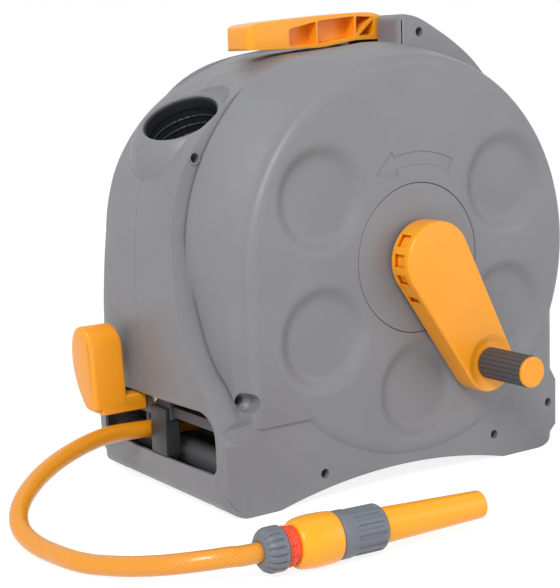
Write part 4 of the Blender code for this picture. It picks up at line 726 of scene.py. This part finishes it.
def tubeAlong(points, radius, sides, closed=False):
    # a tube along the points without twist, with U round it and V along it in metres
    path = [Vector(p) for p in points]
    ahead = [(path[min(i + 1, len(path) - 1)] - path[max(i - 1, 0)]).normalized() for i in range(len(path))]
    across = Vector((0, 0, 1)).cross(ahead[0]).normalized()
    bm = bmesh.new()
    layer = bm.loops.layers.uv.new("along")
    bmesh.ops.create_circle(bm, cap_ends=False, radius=radius, segments=sides)
    edges = list(bm.edges)
    rings = []
    length = 0.0
    for i, (point, direction) in enumerate(zip(path, ahead)):
        across = (across - direction * across.dot(direction)).normalized()
        turn = Matrix((across, direction.cross(across), direction)).transposed().to_4x4()
        place = Matrix.Translation(point) @ turn
        fresh = set(bm.verts)
        move = place
        if i:
            fresh, edges = carriedOn(bm, edges)
            move = place @ rings[-1][1].inverted()
            length += (point - path[i - 1]).length
        for vertex in fresh:
            vertex.co = move @ vertex.co
        rings.append((fresh, place, length))
    where = {vertex: (place, along) for fresh, place, along in rings for vertex in fresh}
    for face in bm.faces:
        spots = []
        for loop in face.loops:
            place, along = where[loop.vert]
            local = place.inverted() @ loop.vert.co
            spots.append((loop, (math.atan2(local.y, local.x) / math.tau) % 1.0, along))
        low = min(u for loop, u, along in spots)
        for loop, u, along in spots:
            loop[layer].uv = (u if u - low < 0.5 else u - 1.0, along)
    if closed:
        bmesh.ops.holes_fill(bm, edges=[e for e in bm.edges if e.is_boundary], sides=sides)
    bmesh.ops.recalc_face_normals(bm, faces=bm.faces)
    return bm


def ringPart(name, profile, steps, finish, body, node, place=hubPlace, closed=True):
    bm = spun(softened(profile, closed=closed, steps=4), steps, closed=closed, place=place)
    return finished(name, bm, finish, body, [node])


def makeDrum():
    face, radius, back = drum["plateFace"], drum["plateRadius"], drum["plateBack"]
    plate = [
        (0.0033, face), (radius, face, 0.0014), (radius, back), (radius - 0.003, back),
        (radius - 0.003, face - 0.003), (0.014, face - 0.003), (0.014, face - 0.012), (0.0033, face - 0.012),
    ]
    ringPart("hub_disc", plate, 160, "bodyGrey", "drum", "hub_plate")
    bore, edge, inner, outer = (drum[k] for k in ("flangeBore", "flangeRadius", "flangeInner", "flangeOuter"))
    flange = [(bore, inner), (edge, inner, 0.001), (edge, outer, 0.001), (bore, outer)]
    ringPart("near_flange", flange, 160, "innerGrey", "drum", "front_flange")
    flange = [(r, -z, *rest) for r, z, *rest in flange[:3]]
    flange += [(bore + 0.005, -outer), (bore + 0.005, -0.1205), (bore, -0.1205)]
    ringPart("far_flange", flange, 160, "innerGrey", "drum", "rear_flange")
    bore, edge, end = drum["coreBore"], drum["coreRadius"], drum["coreHalf"]
    core = [(bore, -end), (edge, -end, 0.003), (edge, end, 0.003), (bore, end)]
    ringPart("winding_core", core, 96, "hoseBraid", "drum", "hose_winding")
    half, radius = drum["halfLength"], drum["turnRadius"]
    steps = drum["turns"] * drum["turnSteps"]
    helix = []
    for i in range(steps + 1):
        turn = math.tau * i / drum["turnSteps"]
        spot = (radius * math.cos(turn), radius * math.sin(turn), half - 2 * half * i / steps)
        helix.append(tuple(hubPlace @ Vector(spot)))
    turns = tubeAlong(helix, hose["radius"], 14, closed=True)
    finished("winding_turns", turns, "hoseBraid", "drum", smoothAngle=60)


def armOutline(inset, hubSteps=72, tipSteps=48):
    x, y = crank["tip"]
    heading = math.degrees(math.atan2(y, x))
    splay = math.degrees(math.acos((crank["hubRadius"] - crank["tipRadius"]) / math.hypot(x, y)))
    points = arc((0, 0), crank["hubRadius"] - inset, heading + splay, heading + 360 - splay, hubSteps)
    return points + arc((x, y), crank["tipRadius"] - inset, heading - splay, heading + splay, tipSteps)


def makeArm():
    back, front, wall = crank["back"], crank["front"], crank["wall"]
    arm = rounded(extruded(armOutline(0), back, front, "XY"), crank["edge"], 4)
    radius, floor = crank["dipRadius"], front - crank["dipDepth"]
    dip = [(0, floor), (radius, floor)]
    width, rise, steps = crank["slopeWidth"], crank["slopeRise"], crank["slopeSteps"]
    for i in range(1, steps + 1):
        dip.append((radius + width * i / steps, floor + rise * smoothStep(i / steps)))
    dip += [(0.031, front + 0.01), (0, front + 0.01)]
    arm = cutOut(arm, spun(dip, 96, place=moved(*crank["tip"], 0)))
    arm = added(arm, puck(crank["seatRadius"], crank["seatBack"], back + 0.002))
    cavity = extruded(armOutline(wall, 40, 28), back - 0.004, front - wall - crank["dipDepth"], "XY")
    # the bosses run past the arm on both sides
    hub, tip = ([(*spot, height) for height in crank["beyond"]] for spot in ((0, 0), crank["tip"]))
    cavity = cutOut(cavity, together(rod(crank["hubBoss"], *hub, 48), rod(crank["tipBoss"], *tip, 32)))
    windows, (inner, outer), edge = [], crank["windowReach"], crank["windowEdge"]
    for angle, low, high in crank["windows"]:
        corner = (outer, high, front - crank["windowFront"])
        windows.append(rounded(block((inner, low, back + 0.006), corner, turned(angle, "Z")), edge, 2))
    # the windows come first: cut after the cavity, they lose the arm
    bores = [rod(crank["screwBore"], hub[0], (0, 0, 0.150), 24)]
    bores.append(rod(crank["spindleBore"], (*crank["tip"], 0.149), (*crank["tip"], 0.169), 32))
    arm = cutOut(arm, *windows, cavity, together(*bores))
    arm.transform(hubPlace)
    finished("crank_arm_fine", arm, "handleOrange", "drum", ["crank_arm"])


def makeGrip():
    place, cap = hubPlace @ moved(*crank["tip"], 0), crank["capRadius"]
    spindle = [
        (0, 0.1495), (0.006, 0.1495), (0.006, 0.2131), (cap, 0.2131, 0.0006), (cap, 0.2169, 0.0016),
        (cap - 0.0035, 0.2169), (cap - 0.0040, 0.2165), (0, 0.2165),
    ]
    ringPart("grip_cap", spindle, 96, "handleOrange", "drum", "grip_spindle", place, False)
    outline, end, steps = [], crank["gripEnd"], crank["ribSteps"]
    for i in range(crank["gripRibs"] * steps):
        radius = crank["gripRadius"] - crank["ribDepth"] * smoothStep(1 - abs((i % steps) - steps / 2) / 2.6)
        turn = math.tau * i / (crank["gripRibs"] * steps)
        outline.append((radius * math.cos(turn), radius * math.sin(turn)))
    sections = [(crank["gripStart"], 0.95), (0.1562, 0.99), (0.1572, 1.0)]
    sections += [(end - 0.0018, 1.0), (end - 0.0006, 0.985), (end, 0.94)]
    grip = cutOut(stacked(outline, sections), rod(0.0064, (0, 0, 0.14), (0, 0, 0.23), 32))
    grip.transform(place)
    finished("crank_grip_fine", grip, "gripRubber", "grip", ["crank_grip"])


# Carry handle, folded down in its channel
handle = {
    "front": -0.118, "half": 0.022, "web": 0.006, "eye": 0.008, "edge": 0.0026, "corner": 0.010,
    "top": (
        (-0.118, 0.4420), (-0.100, 0.4468), (-0.041, 0.4518), (0.010, 0.4551), (0.034, 0.4543),
        (0.050, 0.4480),
    ),
    "bottom": ((-0.118, 0.4210), (-0.033, 0.4215), (0.010, 0.4280), (0.036, 0.4285)),
    "pockets": (
        ((-0.0705, 0.4240), (-0.0380, 0.4250), (-0.0380, 0.4470), (-0.0705, 0.4400)),
        ((-0.0362, 0.4255), (0.0088, 0.4315), (0.0088, 0.4515), (-0.0362, 0.4475)),
        ((0.0112, 0.4320), (0.0330, 0.4335), (0.0330, 0.4505), (0.0112, 0.4515)),
    ),
}


def makeHandle():
    front, half, corner = handle["front"], handle["half"], handle["corner"]
    top = smooth(handle["top"], 5)
    top[0] = (*top[0], 0.006)
    first, *middle, last = handle["bottom"]
    bottom = [(*first, 0.004), *[(*point, 0.008) for point in middle], last]
    eye = arc(handlePivot, handle["eye"], -105, 45, 20)
    body = extruded(softened(bottom + eye + top[::-1], closed=True), -half, half)
    plan = [(0.09, -0.04), (0.09, 0.04)] + arc((front + corner, half - corner), corner, 90, 180, 10)
    plan += arc((front + corner, corner - half), corner, 180, 270, 10)
    body = rounded(shaped(body, extruded(plan, 0.30, 0.50, "XY"), "INTERSECT"), handle["edge"], 4, 40)
    rib = [
        (0.01, 0.4312), (0.0128, 0.4312), (0.034, 0.449), (0.034, 0.4515), (0.0312, 0.4515), (0.01, 0.4336),
    ]
    pockets = []
    for sign in (-1, 1):
        low, high = sorted((sign * handle["web"], sign * 0.03))
        for pocket in handle["pockets"]:
            outline = softened([(x, z, 0.0025) for x, z in pocket], closed=True)
            pockets.append(extruded(outline, low, high))
        pockets[-1] = cutOut(pockets[-1], extruded(rib, -0.04, 0.04))
    pockets.append(rodAcross(0.0033, *handlePivot, -0.03, 0.03, 32))
    body = cutOut(body, together(*pockets))
    finished("carry_handle_fine", body, "handleOrange", "handle", ["carry_handle"])


# Pocket for the nozzle, inlet and screws
holster = {"radius": 0.0395, "bore": 0.0358, "base": -0.060, "floor": -0.0575, "top": -0.0036, "ring": 0.0088}


def makeHolster():
    bore, floor = holster["bore"], holster["floor"]
    cup = puck(holster["radius"], holster["base"], holster["top"], 96, pocketPlace)
    rings = [(bore, floor + holster["ring"] * i) for i in range(1, 6)]
    inner = spun([(0, floor), (bore, floor), *rings, (bore, 0.02), (0, 0.02)], 32)
    cells = [f for f in inner.faces if abs(f.normal.z) < 0.5 and f.calc_center_median().z < -0.014]
    bmesh.ops.inset_individual(inner, faces=cells, thickness=0.0010, depth=0.0011)
    inner.transform(pocketPlace)
    lugs = [rodAcross(0.0042, x, z, -0.010, -0.040) for x, z in pocketScrews]
    bores = [rodAcross(casing["screwBore"], x, z, -0.028, -0.050) for x, z in pocketScrews]
    cup = cutOut(added(cup, together(*lugs)), inner, together(*bores))
    finished("nozzle_cup", cup, "postBlack", "casing", ["nozzle_holster"])


inlet = {"face": -0.1273, "spigot": 0.0084, "groove": 0.0011, "bore": 0.005, "nut": 0.013, "disc": 0.030}


def makeInlet():
    face, spigot, bore, nut, disc = (inlet[k] for k in ("face", "spigot", "bore", "nut", "disc"))
    waist = spigot - inlet["groove"]
    profile = [
        (bore, face - 0.039), (spigot, face - 0.039, 0.0015), (spigot, face - 0.028, 0.0004),
        (waist, face - 0.027, 0.0004), (waist, face - 0.023, 0.0004), (spigot, face - 0.022, 0.0004),
        (spigot, face - 0.013, 0.0008), (nut, face - 0.013, 0.0008), (nut, face - 0.004, 0.002),
        (disc, face - 0.004, 0.0015), (disc, face), (0.020, face), (0.020, -0.092), (0.009, -0.092),
        (0.009, -0.112), (bore, -0.112),
    ]
    ringPart("inlet_spigot", profile, 96, "handleOrange", "casing", "inlet_fitting")


screws = {"radius": 0.0041, "height": 0.0034, "shank": 0.0017, "slot": 0.0005, "cross": 0.52}


def makeScrew(name, node, place, length, body="casing", radius=screws["radius"], height=screws["height"]):
    # a pan head with a cross recess, its seat at the height 0 of its own frame
    shank, slot, reach = screws["shank"], screws["slot"], radius * screws["cross"]
    head = [(0, height), (radius * 0.55, height * 0.97), (radius * 0.9, height * 0.7)]
    head += [(radius, height * 0.35, 0.0003), (radius, 0.0)]
    screw = spun(softened(head + [(shank, 0.0), (shank, -length), (0, -length)]), 32)
    low, high = height * 0.45, height + 0.002
    slots = [block((-u, -v, low), (u, v, high)) for u, v in ((reach, slot), (slot, reach))]
    screw = cutOut(screw, added(*slots))
    screw.transform(place)
    finished(name, screw, "screwSteel", body, [node])


def makeScrews():
    for number, (x, z) in enumerate(casingScrews, 1):
        makeScrew(f"shell_screw_{number}", f"casing_screw_{number}", facingOut(x, -0.0223, z), 0.036)
    for number, (x, z) in enumerate(pocketScrews, 1):
        makeScrew(f"pocket_screw_{number}", f"holster_screw_{number}", facingOut(x, -0.0463, z), 0.016)
    place = moved(-0.2228, 0.003, 0.0930) @ turned(-90, "Y")
    makeScrew("post_screw", "guide_screw", place, 0.010, "guide", 0.0035, 0.0022)


# Hose guide: bar, carriage, posts and lever
guide = {
    "lever": (
        (0.000, 0.083), (0.000, 0.154), (0.004, 0.163), (0.014, 0.168), (0.028, 0.163), (0.040, 0.152),
        (0.047, 0.138), (0.0475, 0.126), (0.043, 0.112), (0.036, 0.099), (0.026, 0.087), (0.020, 0.083),
    ),
    "leverNear": 0.0205, "leverBack": -0.244, "leverThick": 0.0352, "leverLean": 0.0076, "leanFrom": 0.125,
    "leverEdge": 0.0048, "barRadius": 0.0125, "barHalf": 0.1115, "grooves": 6, "groovePitch": 0.0022,
}


def makeGuide():
    bar = rounded(rodAcross(guide["barRadius"], *barPlace, -guide["barHalf"], guide["barHalf"], 96), 0.001, 2)
    # the bar takes the body's plastic darkened as painted shade
    finished("bar_round", bar, "barPaintedShadeGrey", "casing", ["hose_bar"])
    carriage = rounded(block((-0.2225, -0.0225, 0.0755), (-0.2045, 0.046, 0.0970)), 0.001, 3)
    channel = block((-0.21935, -0.1, 0.07815), (-0.20865, 0.1, 0.08885))
    bore = rod(casing["screwBore"], (-0.2325, 0.003, 0.0930), (-0.2105, 0.003, 0.0930))
    carriage = cutOut(carriage, together(channel, bore))
    finished("carriage_fine", carriage, "innerGrey", "guide", ["guide_carriage"])
    front, step, back, top = -0.228, -0.2228, -0.212, 0.0875
    post = [(front, 0.040), (back, 0.040), (back, 0.0752), (step, 0.0752), (step, top), (front, top)]
    post = extruded(post, -0.0225, 0.0065)
    steps = [guide["groovePitch"] * i for i in range(guide["grooves"])]
    grooves = [block((-0.2268 + s, -0.03, 0.0425), (-0.2258 + s, -0.0220, 0.073)) for s in steps]
    post = cutOut(rounded(post, 0.0009, 3), together(*grooves))
    finished("post_near_fine", post, "postBlack", "guide", ["guide_post_near"])
    post = rounded(block((-0.216, 0.0305, 0.052), (-0.2045, 0.0375, 0.0752)), 0.0012, 3)
    finished("post_far_fine", post, "postBlack", "guide", ["guide_post_far"])


def makeLever():
    near, back = guide["leverNear"], guide["leverBack"]
    front = back - guide["leverThick"]
    outline = softened([(near + y, z, 0.006) for y, z in guide["lever"]], closed=True, steps=5)
    lever = rounded(extruded(outline, front, back, "YZ"), guide["leverEdge"], 5, 50)
    top = max(v.co.z for v in lever.verts)
    for vertex in lever.verts:
        share = max((vertex.co.z - guide["leanFrom"]) / (top - guide["leanFrom"]), 0.0)
        vertex.co.x -= guide["leverLean"] * share * share
    stub = rounded(block((front + 0.008, near + 0.0006, 0.0795), (-0.2228, near + 0.0215, 0.0960)), 0.0022, 3)
    finished("lever_fine", added(lever, stub), "handleOrange", "guide", ["guide_lever"])


# Hose: inside from the winding to the guide, and outside, with its connector and nozzle
leadRoute = (
    (0.0, 0.0212, 0.0662), (-0.060, 0.0212, 0.0650), (-0.110, 0.0212, 0.0590), (-0.150, 0.0212, 0.0565),
    (-0.190, 0.0212, 0.0578), (-0.2237, 0.0212, 0.0594),
)
freeRoute = (
    (-0.2240, 0.0212, 0.0594), (-0.2380, 0.0212, 0.0600), (-0.2532, 0.0208, 0.0608),
    (-0.2686, 0.0193, 0.0609), (-0.2840, 0.0164, 0.0596), (-0.2994, 0.0124, 0.0575),
    (-0.3146, 0.0073, 0.0547), (-0.3296, 0.0012, 0.0516), (-0.3442, -0.0060, 0.0477),
    (-0.3583, -0.0143, 0.0433), (-0.3716, -0.0238, 0.0381), (-0.3838, -0.0347, 0.0321),
    (-0.3936, -0.0474, 0.0252), (-0.3992, -0.0626, 0.0180), (-0.3996, -0.0797, 0.0127),
    (-0.3976, -0.0975, 0.0099), (-0.3945, -0.1155, 0.0090), (-0.3915, -0.1338, 0.0090),
    (-0.3872, -0.1497, 0.0090), (-0.3811, -0.1626, 0.0090), (-0.3749, -0.1748, 0.0100),
    (-0.3686, -0.1869, 0.0113), (-0.3622, -0.1986, 0.0129), (-0.3555, -0.2097, 0.0148),
    (-0.3485, -0.2200, 0.0167), (-0.3411, -0.2293, 0.0186), (-0.3332, -0.2376, 0.0204),
    (-0.3247, -0.2446, 0.0218), (-0.3154, -0.2503, 0.0228), (-0.3051, -0.2545, 0.0233),
    (-0.2939, -0.2572, 0.0226), (-0.2710, -0.2593, 0.0226),
)
connector = {
    "place": moved(-0.280, -0.2585, 0.0226) @ turned(-5.3, "Z") @ turned(90, "Y"), "joint": 0.0708,
    "nutRadius": 0.019, "nutTeeth": 18, "ringRadius": 0.0173, "ringSlots": 12, "sleeveRadius": 0.0222,
    "collarRadius": 0.020, "collarSlots": 14, "bore": 0.0108,
}


def grooved(bm, count, depth, low, high, share, offset=0.0):
    # long grooves with round ends, sunk into the side between two heights
    for vertex in bm.verts:
        radius = math.hypot(vertex.co.x, vertex.co.y)
        if radius < 0.012:
            continue
        turn = (math.atan2(vertex.co.y, vertex.co.x) / math.tau * count + offset) % 1.0
        sideways = abs(turn - 0.5) * math.tau * radius / count
        half = math.pi * radius / count * share
        beyond = max(low + half - vertex.co.z, vertex.co.z - high + half, 0.0)
        away = math.hypot(sideways, beyond)
        sunk = depth * smoothStep((half - away) / 0.0009)
        vertex.co.x *= 1 - sunk / radius
        vertex.co.y *= 1 - sunk / radius


def along(points, step=0.0007):
    # the same profile with its long straight lines divided, for shapes sunk into them
    found = [points[0]]
    for point in points[1:]:
        start, end = Vector(found[-1][:2]), Vector(point[:2])
        count = max(1, round((end - start).length / step)) if start.x > 0.012 and end.x > 0.012 else 1
        found += [tuple(start.lerp(end, i / count)) for i in range(1, count + 1)]
    return found


def makeConnector():
    # the radii leave the place's own Z, and the heights run from the nut to the nozzle's tip
    parts = []

    def add(name, bm, finish, node, body="guide"):
        bm.transform(connector["place"])
        parts.append(finished(name, bm, finish, body, [node], 40))

    nut, teeth = connector["nutRadius"], connector["nutTeeth"]
    form = spun(along(softened([
        (0, 0.010), (0.0088, 0.010), (0.0088, 0, 0.0006), (0.0125, 0, 0.001), (0.0165, 0.003, 0.0012),
        (nut, 0.007, 0.002), (nut, 0.0190, 0.001), (0.017, 0.0210, 0.0006), (0, 0.0210),
    ])), teeth * 12)
    grooved(form, teeth, 0.0016, 0.0015, 0.0176, 0.42)
    add("connector_nut_fine", form, "connectorGrey", "connector_nut")
    ring, slots = connector["ringRadius"], connector["ringSlots"]
    form = spun(along(softened([
        (0, 0.0213), (ring, 0.0213, 0.0006), (ring, 0.0232, 0.0003), (ring - 0.0012, 0.0234, 0.0003),
        (ring - 0.0012, 0.0238, 0.0003), (ring, 0.0240, 0.0003), (ring, 0.0259, 0.0006), (0.0155, 0.0259),
        (0.0155, 0.0395), (0.011, 0.0395), (0.011, 0.0703), (0.0075, 0.0703), (0.0075, 0.055), (0, 0.055),
    ])), slots * 16)
    grooved(form, slots, 0.0011, 0.0173, 0.0293, 0.30)
    add("connector_core_fine", form, "ringRed", "connector_core")
    sleeve = connector["sleeveRadius"]
    bulge = ((0.0022, 0.0332), (0.0009, 0.0378), (0, 0.0475), (0.0003, 0.0610), (0.0010, 0.0686))
    form = spun(softened([
        (0.0158, 0.0315), (sleeve - 0.0035, 0.0315, 0.0012), *smooth([(sleeve - r, z) for r, z in bulge], 6),
        (sleeve - 0.0022, 0.0703), (0.0113, 0.0703), (0.0113, 0.0438), (0.0158, 0.0438),
    ], closed=True), 160, closed=True)
    add("connector_sleeve_fine", form, "connectorYellow", "connector_sleeve", "sleeve")
    joint, bore = connector["joint"], connector["bore"]
    form = spun([
        (0, 0.0555), (0.0072, 0.0555), (0.0072, joint), (0.0105, joint), (0.0105, 0.1378), (0.0035, 0.1458),
        (0.0035, 0.1758), (0, 0.1778),
    ], 48)
    add("nozzle_stem_fine", form, "connectorGrey", "nozzle_stem")
    collar, slots = connector["collarRadius"], connector["collarSlots"]
    shape = along(softened([
        (collar - 0.0008, joint), (collar + 0.0006, 0.0718, 0.0008), (collar + 0.0006, 0.0808, 0.0006),
        (collar - 0.0002, 0.0815, 0.0006), (collar, 0.0828), (collar, 0.1125, 0.002),
        (collar - 0.003, 0.1155, 0.0008), (0.0125, 0.1155),
    ]))
    form = spun(shape + [(bore, 0.1155), (bore, joint)], slots * 14, closed=True)
    grooved(form, slots, 0.0015, 0.0838, 0.1115, 0.62)
    add("nozzle_collar_fine", form, "connectorGrey", "nozzle_collar")
    form = spun(softened([
        (bore, 0.1158), (0.0154, 0.1158, 0.0008), (0.0123, 0.2189, 0.0012), (0.0112, 0.2204, 0.0010),
        (0.0080, 0.2204, 0.0008), (0.0080, 0.1458), (bore, 0.1398),
    ], closed=True), 128, closed=True)
    add("nozzle_barrel_fine", form, "connectorYellow", "nozzle_barrel", "barrel")
    return parts


def makeHose(parts):
    def makeRun(name, path, node):
        tube = tubeAlong(path, hose["radius"], hose["sides"], closed=True)
        return finished(name, tube, "hoseBraid", "guide", [node], 60)

    makeRun("hose_inside", smooth(leadRoute, 8), "lead_hose")
    path = smooth(freeRoute, 4)
    free = makeRun("hose_outside", path, "free_hose")
    path = [reelPlace @ Vector(p) for p in path]


# The hose's own finish: clear amber over two families of threads that cross
braid = {
    "between": (0.700, 0.235, 0.004), "around": 14.0, "perMetre": 230.0, "sharp": 2.4, "depth": 0.0002,
    "strength": 0.5, "coat": 0.4, "coatRough": 0.15,
}


def makeBraid():
    tree = materials["hoseBraid"].node_tree
    shader = tree.nodes["Principled BSDF"]
    uv = addNode(tree, "UVMap", {}, uv_map="along").outputs["UV"]
    spot = addNode(tree, "SeparateXYZ", {"Vector": uv}).outputs
    around = addMath(tree, "MULTIPLY", spot["X"], braid["around"])
    lengthwise = addMath(tree, "MULTIPLY", spot["Y"], braid["perMetre"])
    families = []
    for sign in (-1.0, 1.0):
        phase = addMath(tree, "ADD", lengthwise, addMath(tree, "MULTIPLY", around, sign))
        wave = addMath(tree, "ABSOLUTE", addMath(tree, "SINE", addMath(tree, "MULTIPLY", phase, math.pi)))
        families.append(addMath(tree, "SMOOTH_MIN", addMath(tree, "MULTIPLY", wave, braid["sharp"]), 1.0))
    threads = addMath(tree, "MULTIPLY", *families)
    between, over = (*braid["between"], 1), (*finishes["hoseBraid"]["colour"], 1)
    grain = shader.inputs["Normal"].links[0].from_socket
    setSockets(tree, shader, {
        "Base Color": addMix(tree, threads, between, over),
        "Coat Weight": braid["coat"], "Coat Roughness": braid["coatRough"],
        "Normal": addBump(tree, threads, braid["depth"], braid["strength"], grain),
    })


makeBraid()
makeDrum()
makeArm()
makeGrip()
print("drum and crank made")
makeHandle()
makeHolster()
makeInlet()
makeScrews()
print("handle, pocket, inlet and screws made")
makeGuide()
makeLever()
makeHose(makeConnector())
print("guide, hose and nozzle made")

# Small inner pieces stay as the frame has them, with these finishes
kept = {
    "guide_rail": "innerGrey", "handle_pin": "screwSteel", "crank_screw": "screwSteel",
    "inlet_seal": "sealRubber", "tail_clamp": "screwSteel", "outlet_elbow": "innerGrey",
    "drum_barrel": "innerGrey",
}
for node, finish in kept.items():
    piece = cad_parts[node]
    piece.data.materials.clear()
    piece.data.materials.append(materials[finish])


# Floor, light and background: everything is white to the camera, and lit from the front left
lighting = {
    "ambient": 0.50, "floorGlow": 0.85, "floorShade": 0.36, "floorColour": 0.9, "floorSize": 6.0,
    "target": (0, 0, 0.2),
    "key": ((-1.5, -1.3, 1.7), 36.0, 0.9), "fill": ((1.5, -1.8, 0.9), 9.0, 1.6),  # place, power, size
}


def addArea(name):
    place, power, size = lighting[name]
    lamp = bpy.data.lights.new(name, "AREA")
    lamp.energy = power
    lamp.size = size
    lampObject = bpy.data.objects.new(name, lamp)
    lampObject.location = place
    heading = Vector(lighting["target"]) - Vector(place)
    lampObject.rotation_euler = heading.to_track_quat("-Z", "Y").to_euler()
    bpy.context.scene.collection.objects.link(lampObject)


def anySeen(tree):
    # 1 for what the camera sees, in a reflection or through something too
    rays = tree.nodes.new("ShaderNodeLightPath").outputs
    glossy = addMath(tree, "MAXIMUM", rays["Is Camera Ray"], rays["Is Glossy Ray"])
    return addMath(tree, "MAXIMUM", glossy, rays["Is Transmission Ray"])


def showApart(tree, unseen, seen, output):
    # one shader for the light that falls on the object, and another for what the camera sees
    mix = addNode(tree, "MixShader", {0: anySeen(tree), 1: unseen.outputs[0], 2: seen.outputs[0]})
    addNode(tree, output, {"Surface": mix.outputs["Shader"]})


def makeWorld():
    world = bpy.data.worlds.new("white")
    bpy.context.scene.world = world
    world.use_nodes = True
    tree = world.node_tree
    tree.nodes.clear()
    white = (1, 1, 1, 1)
    plain = addNode(tree, "Background", {"Color": white, "Strength": lighting["ambient"]})
    showApart(tree, plain, addNode(tree, "Background", {"Color": white, "Strength": 1.0}), "OutputWorld")


def makeFloor():
    bm = bmesh.new()
    bmesh.ops.create_grid(bm, x_segments=1, y_segments=1, size=lighting["floorSize"])
    mesh = bpy.data.meshes.new("floor")
    bm.to_mesh(mesh)
    bm.free()
    floor = bpy.data.objects.new("floor", mesh)
    floor.location = (0, 0, -0.0002)
    bpy.context.scene.collection.objects.link(floor)
    material = bpy.data.materials.new("floor")
    material.use_nodes = True
    tree = material.node_tree
    tree.nodes.clear()
    pale, shade = ((*[lighting[k]] * 3, 1) for k in ("floorColour", "floorShade"))
    glow = addNode(tree, "Emission", {"Strength": lighting["floorGlow"]}).outputs[0]
    shaded = addNode(tree, "BsdfDiffuse", {"Color": shade}).outputs[0]
    both = addNode(tree, "AddShader", {0: glow, 1: shaded})
    showApart(tree, addNode(tree, "BsdfDiffuse", {"Color": pale}), both, "OutputMaterial")
    mesh.materials.append(material)


makeWorld()
makeFloor()
addArea("key")
addArea("fill")
bpy.context.scene.view_settings.view_transform = "Standard"
print("stage made")
